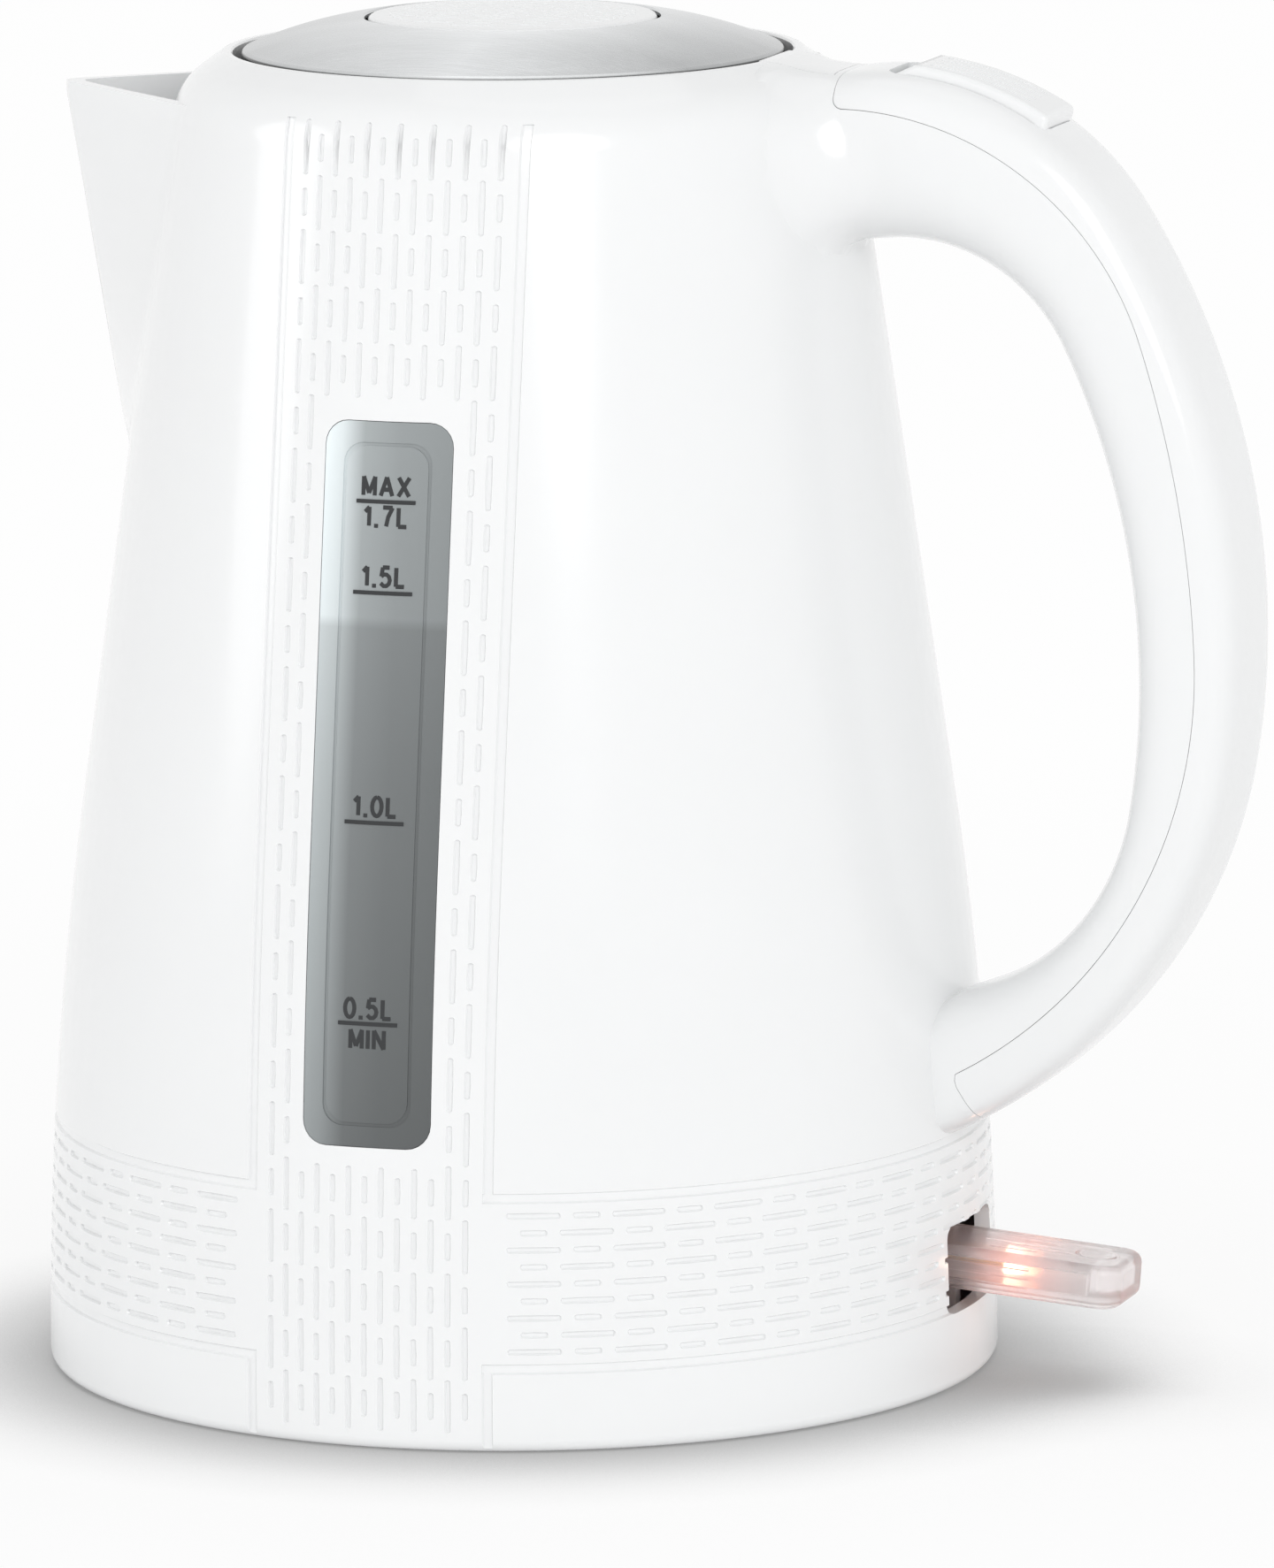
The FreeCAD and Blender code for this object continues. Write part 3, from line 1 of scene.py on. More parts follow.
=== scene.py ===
"""White electric kettle: the visible mouldings and finishes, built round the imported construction."""
import contextlib
import json
import math
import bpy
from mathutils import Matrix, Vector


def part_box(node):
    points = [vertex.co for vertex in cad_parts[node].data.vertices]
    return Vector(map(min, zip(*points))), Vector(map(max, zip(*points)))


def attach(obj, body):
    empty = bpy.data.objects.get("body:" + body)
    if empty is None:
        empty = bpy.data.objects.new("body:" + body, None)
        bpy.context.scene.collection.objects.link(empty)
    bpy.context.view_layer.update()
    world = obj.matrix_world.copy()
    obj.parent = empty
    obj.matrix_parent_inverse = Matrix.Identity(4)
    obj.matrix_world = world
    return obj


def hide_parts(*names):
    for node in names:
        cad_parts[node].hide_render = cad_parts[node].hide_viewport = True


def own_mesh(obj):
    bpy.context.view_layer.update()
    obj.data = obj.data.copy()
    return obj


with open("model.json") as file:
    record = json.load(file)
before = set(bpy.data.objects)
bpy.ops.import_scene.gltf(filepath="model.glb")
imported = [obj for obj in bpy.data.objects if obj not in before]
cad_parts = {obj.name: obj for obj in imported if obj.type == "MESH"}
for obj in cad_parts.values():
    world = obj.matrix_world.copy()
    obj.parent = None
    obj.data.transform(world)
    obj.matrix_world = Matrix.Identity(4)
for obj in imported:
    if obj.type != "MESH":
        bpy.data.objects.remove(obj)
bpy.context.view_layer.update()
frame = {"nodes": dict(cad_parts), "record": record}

import types

import bmesh
import bpy
from mathutils import Euler, Matrix, Vector

bl_info = {
    "name": "Electric Kettle",
    "version": (1, 0, 0),
    "blender": (4, 5, 0),
    "location": "3D View > Sidebar > Kettle",
    "description": "Models the kettle's mouldings, lid, windows, lever and studio",
    "category": "Add Mesh",
}

MM = 0.001
ROUND_STEPS = 256
MERGE = 0.0005
FRONT, BACK = -1, 1
LEVER_PIVOT = (66, 0, 21)
SHORTEST_DASH = 1.6
FINISHES = {}
# Height at which the steel cap comes out of the shade of the gap round it.
CAP_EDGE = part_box("lid_cap")[0][2] / MM + 2.6


def length(label, text, millimetres):
    """A size in metres, written here in millimetres."""
    return bpy.props.FloatProperty(name=label, description=text, default=millimetres * MM, min=0,
                                   unit="LENGTH", precision=5)


def angle(label, text, degrees):
    """An angle, written here in degrees."""
    return bpy.props.FloatProperty(name=label, description=text, default=math.radians(degrees),
                                   unit="ROTATION")


def colour(label, text, value):
    """A colour that a user would change."""
    return bpy.props.FloatVectorProperty(name=label, description=text, default=value, size=3, min=0, max=1,
                                         subtype="COLOR")


class KettleJug(bpy.types.PropertyGroup):
    """Sizes of the jug moulding and its pouring beak."""

    base_radius: length("Base radius", "Radius of the jug at the table", 78.5)
    bow: length("Side bow", "Radius of the bowed lower side, seen from the front", 665)
    taper: angle("Side taper", "Lean of the straight upper side", 8.15)
    side_top: length("Side top", "Height where the side turns into the shoulder", 206.5)
    shoulder: length("Shoulder radius", "Radius of the turn from side to shoulder", 12)
    shoulder_slope: angle("Shoulder slope", "Slope of the shoulder towards the rim", 34)
    rim_run: length("Rim run", "Breadth of the sloping shoulder", 3.4)
    rim_width: length("Rim width", "Breadth of the flat rim", 1.4)
    wall: length("Wall", "Thickness of the jug's wall", 2.6)
    foot_round: length("Foot round", "Radius of the edge that stands on the table", 2.0)
    ledge_drop: length("Ledge drop", "Depth of the lid's ledge below the rim", 7.5)
    ledge_width: length("Ledge width", "Breadth of the lid's ledge", 4.4)
    ledge_thick: length("Ledge thickness", "Thickness of the lid's ledge", 2.5)
    floor_flange: length("Plate flange", "Breadth of the flange that holds the heating plate", 10.9)
    beak_low: length("Beak foot", "Height where the beak leaves the side", 145)
    beak_overhang: length("Beak overhang", "Reach of the beak's tip past the side", 23.2)
    beak_wall: length("Beak wall", "Thickness of the beak's sides", 2.2)
    beak_floor: length("Beak floor", "Height of the bottom of the beak's channel", 158)


class KettlePattern(bpy.types.PropertyGroup):
    """Sizes of the dashes and frame grooves pressed into the jug and the lid's disc."""

    across: length("Column pitch", "Distance between neighbouring columns of dashes", 2.75)
    along: length("Row pitch", "Distance between neighbouring rows of dashes", 8.65)
    first_row: length("First row", "Height of the lowest row's centre", 7.5)
    long_dash: length("Long dash", "Length of the long dashes", 8.8)
    short_dash: length("Short dash", "Length of the short dashes", 4.5)
    width: length("Dash width", "Width of a dash at the surface", 1.1)
    depth: length("Dash depth", "Depth of a dash", 0.45)
    frame_at: length("Frame place", "Distance of the frame grooves from the middle of the band", 20)
    frame_width: length("Frame width", "Width of the frame grooves", 1.7)
    frame_depth: length("Frame depth", "Depth of the frame grooves", 0.45)
    band_bottom: length("Band bottom", "Height of the lower frame groove round the jug", 13.7)
    band_top: length("Band top", "Height of the upper frame groove round the jug", 41.3)
    columns: bpy.props.IntProperty(name="Columns", description="Columns each side of the middle", default=6)
    rows: bpy.props.IntProperty(name="Rows", description="Rows of the upright bands", default=24)


class KettleHandle(bpy.types.PropertyGroup):
    """Sizes of the handle, its cover and the lid button."""

    half_width: length("Half width", "Half the width of the handle", 13.5)
    flank_fillet: length("Flank fillet", "Radius of the blend between the handle's flanks and the jug", 13)
    under_fillet: length("Under fillet", "Radius of the blend under the handle's root", 2.5)
    gap: length("Parting gap", "Width of the line between cover and grip", 0.09)
    wall: length("Wall", "Thickness of the hollow part under the button", 2.4)
    button_half_long: length("Button half length", "Half the length of the button", 14)
    button_half_wide: length("Button half width", "Half the width of the button", 7.8)
    button_proud: length("Button height", "Height of the button over the handle", 2.2)
    button_crown: length("Button crown", "Radius of the button's crown", 55)
    button_gap: length("Button gap", "Gap round the button", 0.2)
    button_corner: length("Button corner", "Radius of the button's corners, from above", 2.8)
    button_wedge: length("Button wedge", "Length of the slope at the button's front", 4.2)
    button_tilt: angle("Button tilt", "Slope of the button down towards the hand", 17)


class KettleLid(bpy.types.PropertyGroup):
    """Sizes of the lid's steel cap, of the disc in its middle and of its hinge."""

    dome: length("Dome radius", "Radius of the steel cap's dome", 70)
    sheet: length("Sheet", "Thickness of the steel", 0.8)
    edge_round: length("Edge round", "Radius of the cap's rolled edge", 1.2)
    disc: length("Disc radius", "Radius of the disc in the cap's middle", 23.6)
    disc_gap: length("Disc gap", "Gap round the disc", 0.6)
    disc_round: length("Disc edge", "Radius of the disc's edge", 0.8)
    hinge_out: length("Hinge place", "Distance of the hinge behind the mouth", 5.2)
    hinge_drop: length("Hinge drop", "Depth of the hinge below the rim", 3)
    tail: length("Knuckle reach", "Radius of the knuckle's back about the hinge", 6.65)
    knuckle_half: length("Knuckle half width", "Half the width of the knuckle", 7.85)
    hinge_gap: length("Hinge gap", "Gap round the knuckle", 0.15)


class KettleWindow(bpy.types.PropertyGroup):
    """Sizes of the water windows and their marks."""

    bottom: length("Bottom", "Height of the window's lower edge", 48.9)
    top: length("Top", "Height of the window's upper edge", 164)
    half: length("Half width", "Half the width of the window", 10.85)
    corner: length("Corner", "Radius of the window's corners", 4)
    border: length("Border", "Breadth of the pane's border, outside its fine line", 3.4)
    letter: length("Letter height", "Height of the marks' letters", 3.65)
    line: length("Line length", "Length of the marks' lines", 9.95)


class KettleLever(bpy.types.PropertyGroup):
    """Sizes of the clear switch lever."""

    length: length("Length", "Reach of the lever from its pivot", 39.1)
    tail: length("Tail", "Length of the lever behind its pivot", 8)
    half: length("Half width", "Half the width of the lever", 8.8)
    thick: length("Thickness", "Thickness of the lever", 7.3)
    tilt: angle("Tilt", "Lean of the lever at rest", 4.7)
    edge: length("Edge round", "Radius of the lever's edges", 1.6)
    tip: length("Tip round", "Radius of the lever's outer corners", 4)


class KettleFinish(bpy.types.PropertyGroup):
    """Colours of the kettle's finishes."""

    white: colour("Gloss white", "Jug, handle and button", (0.88, 0.888, 0.892))
    steel: colour("Steel", "Lid cap and fasteners", (0.56, 0.57, 0.575))
    pane: colour("Window", "Smoky window panes", (0.205, 0.222, 0.226))
    ink: colour("Marks", "Printed level marks", (0.022, 0.024, 0.026))
    lever: colour("Lever", "Clear switch lever", (0.94, 0.92, 0.92))
    glow: colour("Glow", "Light of the switch lamp", (1.0, 0.24, 0.16))
    floor: colour("Floor", "Studio floor", (0.93, 0.93, 0.93))


class KettleStudio(bpy.types.PropertyGroup):
    """Place and lens of the camera."""

    distance: length("Camera distance", "Distance of the camera from the kettle's axis", 2039)
    height: length("Camera height", "Height of the camera", 448.6)
    bearing: angle("Camera bearing", "Direction of the camera round the kettle", 19.2)
    turn: angle("Camera turn", "Turn of the camera off the kettle's axis", 0.544)
    pitch: angle("Camera pitch", "Downward pitch of the camera", 9.84)
    roll: angle("Camera roll", "Roll of the camera", -0.42)
    lens: bpy.props.FloatProperty(name="Lens", description="Focal length in millimetres", default=288.3)


GROUPS = {"kettle_jug": KettleJug, "kettle_pattern": KettlePattern, "kettle_handle": KettleHandle,
          "kettle_lid": KettleLid, "kettle_window": KettleWindow, "kettle_lever": KettleLever,
          "kettle_finish": KettleFinish, "kettle_studio": KettleStudio}


def sizes(group):
    """A group's values, with its lengths in millimetres."""
    holder = getattr(bpy.context.scene, group)
    values = types.SimpleNamespace()
    for name in GROUPS[group].__annotations__:
        value = getattr(holder, name)
        unit = holder.bl_rna.properties[name].unit
        setattr(values, name, value / MM if unit == "LENGTH" else value)
    return values


# Shared modelling moves


def deselect():
    """Leaves edit mode and selects nothing."""
    if bpy.context.object and bpy.context.object.mode != "OBJECT":
        bpy.ops.object.mode_set(mode="OBJECT")
    bpy.ops.object.select_all(action="DESELECT")


def pick(obj):
    """Makes obj the only selected object and the active one."""
    deselect()
    obj.select_set(True)
    bpy.context.view_layer.objects.active = obj
    return obj


@contextlib.contextmanager
def editing(obj):
    """Edit mode on obj, with everything selected."""
    pick(obj)
    bpy.ops.object.mode_set(mode="EDIT")
    bpy.ops.mesh.select_all(action="SELECT")
    yield
    bpy.ops.object.mode_set(mode="OBJECT")


def close_up():
    """Merges doubles and turns all faces outwards, in edit mode."""
    bpy.ops.mesh.select_all(action="SELECT")
    bpy.ops.mesh.remove_doubles(threshold=MERGE)
    bpy.ops.mesh.normals_make_consistent(inside=False)


def thread(name, points):
    """A chain of edges through points, extruded from one vertex."""
    deselect()
    bpy.ops.mesh.primitive_plane_add(size=1, location=(0, 0, 0))
    obj = bpy.context.object
    obj.name = name
    with editing(obj):
        bpy.ops.mesh.merge(type="CENTER")
        bpy.ops.transform.translate(value=points[0])
        for here, there in zip(points, points[1:]):
            step = Vector(there) - Vector(here)
            bpy.ops.mesh.extrude_region_move(TRANSFORM_OT_translate={"value": step})
    return obj


def turned(name, outline, steps=ROUND_STEPS):
    """An outline of (radius, height) points, spun round the upright axis."""
    obj = thread(name, [(radius, 0, height) for radius, height in outline])
    with editing(obj):
        bpy.ops.mesh.spin(steps=steps, angle=math.tau, center=(0, 0, 0), axis=(0, 0, 1))
        close_up()
    return obj


def prism(name, corners, low, high):
    """A closed outline in (x, z), filled and pushed out along Y from low to high."""
    obj = thread(name, [(x, low, z) for x, z in corners])
    with editing(obj):
        bpy.ops.mesh.edge_face_add()
        bpy.ops.mesh.extrude_region_move(TRANSFORM_OT_translate={"value": (0, high - low, 0)})
        close_up()
    return obj


def tube(name, columns, rows, place):
    """A grid laid out by place(u, v), with u and v from 0 to 1, closed round u and capped at its ends."""
    deselect()
    bpy.ops.mesh.primitive_grid_add(x_subdivisions=columns, y_subdivisions=rows, size=1)
    obj = bpy.context.object
    obj.name = name
    for vertex in obj.data.vertices:
        vertex.co = place(vertex.co.x + 0.5, vertex.co.y + 0.5)
    with editing(obj):
        bpy.ops.mesh.remove_doubles(threshold=MERGE)
        bpy.ops.mesh.select_all(action="DESELECT")
        bpy.ops.mesh.select_non_manifold()
        bpy.ops.mesh.fill_holes(sides=0)
        close_up()
    return obj


def copied(obj, name):
    """A copy of obj with a mesh of its own."""
    twin = obj.copy()
    twin.data = obj.data.copy()
    twin.name = name
    bpy.context.scene.collection.objects.link(twin)
    return twin


def joined(name, pieces):
    """Several closed forms as one, all facing outwards."""
    deselect()
    for piece in pieces:
        piece.select_set(True)
    bpy.context.view_layer.objects.active = pieces[0]
    if len(pieces) > 1:
        bpy.ops.object.join()
    pieces[0].name = name
    with editing(pieces[0]):
        bpy.ops.mesh.normals_make_consistent(inside=False)
    return pieces[0]


def carve(obj, tool, operation="DIFFERENCE"):
    """Applies a boolean of obj with tool, which is then removed."""
    modifier = obj.modifiers.new("carve", "BOOLEAN")
    modifier.operation = operation
    modifier.solver = "MANIFOLD"
    modifier.object = tool
    apply_last(obj)
    bpy.data.objects.remove(tool)
    if not obj.data.polygons:
        raise RuntimeError(f"{obj.name}: nothing is left after a boolean")
    return obj


def apply_last(obj):
    """Applies the newest modifier of obj."""
    pick(obj)
    bpy.ops.object.modifier_apply(modifier=obj.modifiers[-1].name)


def soften(obj, width, segments):
    """Rounds the sharp edges of obj."""
    sharp = math.radians(35)
    modifier = obj.modifiers.new("soften", "BEVEL")
    modifier.width = width
    modifier.segments = segments
    modifier.limit_method = "ANGLE"
    modifier.angle_limit = sharp
    modifier.use_clamp_overlap = True
    apply_last(obj)
    return obj


def moved(obj, matrix):
    """Turns and moves a mesh by matrix."""
    obj.data.transform(matrix)
    return obj


def delivered(obj, name, body, slot, replaced=(), finish=None):
    """A finished piece: in metres at the origin, smooth, with its body and the finish of its slot, or the
    finish given.
    """
    sharp = math.radians(32)
    obj.name = name
    obj.data.name = name
    pick(obj)
    obj.scale = (MM, MM, MM)
    bpy.ops.object.transform_apply(location=True, rotation=True, scale=True)
    bpy.ops.object.shade_smooth_by_angle(angle=sharp)
    modifier = obj.modifiers.new("even", "WEIGHTED_NORMAL")
    modifier.keep_sharp = True
    modifier.weight = 60
    apply_last(obj)
    obj.data.materials.clear()
    obj.data.materials.append(FINISHES[finish or slot])
    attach(obj, body)
    if replaced:
        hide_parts(*replaced)
    return obj


def arc(start, end, radius, count):
    """Points after start to end along an arc, to the right for a positive radius, else to the left."""
    start, end = Vector(start), Vector(end)
    chord = end - start
    turn = math.copysign(1, radius)
    rise = math.sqrt(radius ** 2 - (chord.length / 2) ** 2)
    centre = (start + end) / 2 + Vector((chord.y, -chord.x)).normalized() * rise * turn
    sweep = -turn * 2 * math.asin(chord.length / 2 / abs(radius))
    spoke = start - centre
    return [tuple(centre + Matrix.Rotation(sweep * i / count, 2) @ spoke) for i in range(1, count + 1)]


def rounded_rectangle(left, right, low, high, corner):
    """Points round a rectangle with round corners."""
    count = 6
    points = []
    for x, z, start in ((right, high, 0), (left, high, 90), (left, low, 180), (right, low, 270)):
        middle_x = x - math.copysign(corner, x - (left + right) / 2)
        middle_z = z - math.copysign(corner, z - (low + high) / 2)
        for i in range(count + 1):
            at = math.radians(start + 90 * i / count)
            points.append((middle_x + corner * math.cos(at), middle_z + corner * math.sin(at)))
    return points


# Materials


class Socket:
    """An output of a material's node; arithmetic on it adds Math nodes."""

    def __init__(self, finish, output):
        self.finish = finish
        self.output = output

    def math(self, operation, other, swapped=False):
        pair = (other, self) if swapped else (self, other)
        return self.finish.node("ShaderNodeMath", {"operation": operation}, {0: pair[0], 1: pair[1]})

    def __add__(self, other):
        return self.math("ADD", other)

    def __radd__(self, other):
        return self.math("ADD", other, True)

    def __sub__(self, other):
        return self.math("SUBTRACT", other)

    def __rsub__(self, other):
        return self.math("SUBTRACT", other, True)

    def __mul__(self, other):
        return self.math("MULTIPLY", other)

    def __rmul__(self, other):
        return self.math("MULTIPLY", other, True)

    def __truediv__(self, other):
        return self.math("DIVIDE", other)

    def __rtruediv__(self, other):
        return self.math("DIVIDE", other, True)


class Finish:
    """The nodes of a material, or of the room's light, under construction."""

    def __init__(self, name, store="materials"):
        self.block = getattr(bpy.data, store).new(name)
        self.block.use_nodes = True
        self.tree = self.block.node_tree
        self.tree.nodes.clear()

    def node(self, kind, settings=None, sockets=None, out=0):
        """Adds a node: its settings first, then the values or links of its sockets; gives one output."""
        node = self.tree.nodes.new(kind)
        for key, value in (settings or {}).items():
            if key == "stops":
                self.set_stops(node.color_ramp, value)
            else:
                setattr(node, key, value)
        for key, value in (sockets or {}).items():
            if isinstance(value, Socket):
                self.tree.links.new(value.output, node.inputs[key])
            else:
                node.inputs[key].default_value = value
        return Socket(self, node.outputs[out]) if node.outputs else None

    @staticmethod
    def set_stops(ramp, stops):
        """Puts (place, grey or colour) stops on a colour ramp."""
        while len(ramp.elements) < len(stops):
            ramp.elements.new(1)
        for element, (place, value) in zip(ramp.elements, stops):
            element.position = place
            element.color = (*value, 1) if hasattr(value, "__len__") else (value, value, value, 1)

    def place(self, stretch=(1, 1, 1)):
        """Object coordinates in metres, stretched."""
        seat = self.node("ShaderNodeTexCoord", out="Object")
        return self.node("ShaderNodeMapping", {}, {"Vector": seat, "Scale": stretch})

    def axis(self, name):
        """One object coordinate, in millimetres."""
        seat = self.node("ShaderNodeTexCoord", out="Object")
        return self.node("ShaderNodeSeparateXYZ", {}, {"Vector": seat}, out=name) / MM

    def grain(self, size, detail=3, stretch=(1, 1, 1), roughness=0.5):
        """Noise with features of about size millimetres, from 0 to 1."""
        return self.node("ShaderNodeTexNoise", {}, {
            "Vector": self.place(stretch), "Scale": 1 / (size * MM), "Detail": detail,
            "Roughness": roughness})

    def ramp(self, value, *stops):
        """Value through a ramp of (place, grey or colour) stops."""
        return self.node("ShaderNodeValToRGB", {"stops": stops}, {"Fac": value})

    def mix(self, factor, first, second):
        """A colour between first and second."""
        low, high = (value if isinstance(value, Socket) else (*value, 1) for value in (first, second))
        return self.node("ShaderNodeMix", {"data_type": "RGBA"}, {"Factor": factor, 6: low, 7: high}, out=2)

    def times(self, first, second):
        """Two colours multiplied."""
        return self.node("ShaderNodeVectorMath", {"operation": "MULTIPLY"}, {0: first, 1: second})

    def bump(self, height, depth, strength):
        """A normal from height, whose full range is depth millimetres."""
        return self.node("ShaderNodeBump", {}, {
            "Height": height, "Distance": depth * MM, "Strength": strength})

    def coated(self, **sockets):
        """The finished material, from the shader's sockets by name."""
        named = {key.replace("_", " "): value for key, value in sockets.items()}
        shader = self.node("ShaderNodeBsdfPrincipled", {}, named)
        self.node("ShaderNodeOutputMaterial", {}, {"Surface": shader})
        return self.block


def shade_of(value, factor):
    """A colour made lighter or darker."""
    return tuple(min(1, channel * factor) for channel in value)


def moulded(name, tint, rough, grain_size=0.9, coat=0.0):
    """Moulded plastic: faint flow marks in the colour, a fine skin in gloss and relief."""
    finish = Finish(name)
    flow = finish.grain(38, 2)
    skin = finish.grain(grain_size, 2)
    base = finish.mix(flow, shade_of(tint, 0.985), shade_of(tint, 1.01))
    return finish.coated(Base_Color=base, Roughness=rough + (skin - 0.5) * 0.06 + (flow - 0.5) * 0.04,
                         Normal=finish.bump(skin, 0.02, 0.05), IOR=1.5, Coat_Weight=coat, Coat_Roughness=0.06)


def metal(name, tint, rough, stretch=(1, 1, 1), size=0.6, depth=0.012):
    """Metal with scratches or brush lines drawn out along one direction."""
    finish = Finish(name)
    lines = finish.grain(size, 5, stretch, 0.65)
    cloud = finish.grain(22, 2)
    base = finish.mix(lines, shade_of(tint, 0.84), shade_of(tint, 1.12))
    gloss = rough + (lines - 0.5) * 0.22 + (cloud - 0.5) * 0.05
    return finish.coated(Base_Color=base, Metallic=1.0, Roughness=gloss,
                         Normal=finish.bump(lines, depth, 0.35))


def brushed_cap(tint):
    """The cap's steel: brushed along the kettle, with a painted reflection across its middle, painted shade
    towards both ends and painted shade in the gap round it.
    """
    span, fade = 90, 2
    finish = Finish("steel_cap")
    lines = finish.grain(0.35, 5, (0.03, 1, 1), 0.65)
    streaks = finish.grain(9, 3, (0.25, 1, 1))
    # Painted reflection and shade: a ramp across the cap that lightens the steel across its middle and
    # darkens it towards both ends.
    ends = finish.ramp(finish.axis("X") / span + 0.5,
                       (0.02, 0.78), (0.25, 1.1), (0.55, 1.5), (0.8, 1.05), (0.98, 0.76))
    # Painted shade: the steel is darkened below the height where the cap comes out of the gap round it.
    gap = finish.ramp((finish.axis("Z") - CAP_EDGE) / fade, (0.0, 0.1), (0.4, 0.14), (0.5, 1.0))
    brushed = finish.mix(lines * 0.5 + streaks * 0.5, shade_of(tint, 0.72), shade_of(tint, 1.28))
    return finish.coated(Base_Color=finish.times(finish.times(brushed, ends), gap), Metallic=1.0,
                         Roughness=0.26 + (lines - 0.5) * 0.2, Normal=finish.bump(lines, 0.012, 0.35))


def smoky_pane(tint):
    """Smoky plastic that gets darker down the pane, with a step in its tone, and a painted highlight that is
    brightest at its edge away from the handle.
    """
    finish = Finish("window_clear")
    window = sizes("kettle_window")
    fall = (finish.axis("Z") - window.bottom) / (window.top - window.bottom)
    lean = (finish.axis("X") + window.half) / (2 * window.half)
    tone = finish.ramp(fall, (0, 0.5), (0.5, 0.8), (0.715, 1.0), (0.73, 1.35), (1, 1.55))
    # Painted highlight: a ramp across the pane that lightens it at the edge away from the handle and darkens
    # it towards the handle.
    painted_highlight = finish.ramp(lean, (0, 2.9), (0.14, 2.4), (0.32, 1.2), (0.6, 0.95), (1, 0.84))
    skin = finish.grain(1.2, 2)
    return finish.coated(Base_Color=finish.times(finish.times(tint, tone), painted_highlight), IOR=1.49,
                         Roughness=0.14 + (skin - 0.5) * 0.05, Coat_Weight=0.3, Coat_Roughness=0.05,
                         Normal=finish.bump(skin, 0.02, 0.04))


def frosted_lever(tint, glow):
    """Clear plastic with a frosted skin, with the lamp's light painted round the lamp as a reddish tint and a
    faint glow.
    """
    finish = Finish("lever_clear")
    dark, painted_lamp_tint, span = (0, 0, 0), (1.0, 0.7, 0.66), 40
    # Painted lamp light: a ramp along the lever that gives the plastic a reddish tint and a faint glow round
    # the lamp.
    near = finish.ramp((finish.axis("X") - LEVER_PIVOT[0]) / span,
                       (0.3, 0.1), (0.44, 0.9), (0.52, 1.0), (0.64, 0.35), (0.8, 0.06), (1, 0.2))
    skin = finish.grain(0.7, 3)
    return finish.coated(Base_Color=finish.mix(near * 0.3, tint, painted_lamp_tint), Roughness=0.23 + (skin - 0.5) * 0.1,
                         Transmission_Weight=0.88, IOR=1.42, Normal=finish.bump(skin, 0.05, 0.12),
                         Emission_Color=finish.mix(near, dark, glow), Emission_Strength=0.08)


def lamp_glass(glow):
    """Glass of the lit lamp, hottest at its inner end."""
    finish = Finish("lamp_red")
    start, span = 83, 7
    ember, orange, yellow, pale = (0.12, 0.02, 0.015), (1.0, 0.6, 0.34), (1.0, 0.86, 0.62), (1, 0.8, 0.7)
    cloud = finish.grain(1.4, 2)
    hot = finish.ramp((finish.axis("X") - start) / span, (0.1, 1.0), (0.38, 0.9), (0.6, 0.3), (0.95, 0.08))
    light = finish.mix(hot, ember, finish.mix(cloud, orange, yellow))
    return finish.coated(Base_Color=finish.mix(cloud, glow, pale), Roughness=0.2 + cloud * 0.1,
                         Emission_Color=light, Emission_Strength=6.5)


def make_finishes():
    """All materials by name."""
    tints = bpy.context.scene.kettle_finish
    white = tuple(tints.white)
    steel = tuple(tints.steel)
    return {
        "white_gloss": moulded("white_gloss", white, 0.16, coat=0.25),
        "white_satin": moulded("white_satin", shade_of(white, 0.99), 0.24, coat=0.1),
        "inner_plastic": moulded("inner_plastic", shade_of(white, 0.94), 0.38),
        "filter_plastic": moulded("filter_plastic", shade_of(white, 0.88), 0.32),
        "silicone": moulded("silicone", (0.55, 0.56, 0.56), 0.62, 0.4),
        "control_plastic": moulded("control_plastic", (0.03, 0.03, 0.032), 0.45, 0.5),
        "steel_cap": brushed_cap(steel),
        "steel": metal("steel", steel, 0.3, (1, 1, 0.15), 0.5),
        "aluminium": metal("aluminium", (0.74, 0.745, 0.75), 0.42, (1, 1, 1), 0.9, 0.03),
        "brass": metal("brass", (0.72, 0.52, 0.22), 0.32, (1, 1, 0.2), 0.5),
        "window_clear": smoky_pane(tuple(tints.pane)),
        "ink": moulded("mark_ink", tuple(tints.ink), 0.5, 0.3),
        "lever_clear": frosted_lever(tuple(tints.lever), tuple(tints.glow)),
        "lamp_red": lamp_glass(tuple(tints.glow)),
    }


# Forms of the jug


def jug_form():
    """The jug's sizes, with the heights and radii that follow from them."""
    jug = sizes("kettle_jug")
    jug.knee_height = jug.bow * math.sin(jug.taper)
    jug.knee_radius = jug.base_radius - jug.bow * (1 - math.cos(jug.taper))
    jug.top_radius = jug.knee_radius - (jug.side_top - jug.knee_height) * math.tan(jug.taper)
    jug.turn = (jug.top_radius - jug.shoulder * math.cos(jug.taper),
                jug.side_top - jug.shoulder * math.sin(jug.taper))
    steep = math.pi / 2 - jug.shoulder_slope
    jug.shoulder_end = (jug.turn[0] + jug.shoulder * math.cos(steep),
                        jug.turn[1] + jug.shoulder * math.sin(steep))
    jug.rim_radius = jug.shoulder_end[0] - jug.rim_run
    jug.rim = jug.shoulder_end[1] + jug.rim_run * math.tan(jug.shoulder_slope)
    jug.mouth = jug.rim_radius - jug.rim_width
    jug.ledge = jug.rim - jug.ledge_drop
    return jug


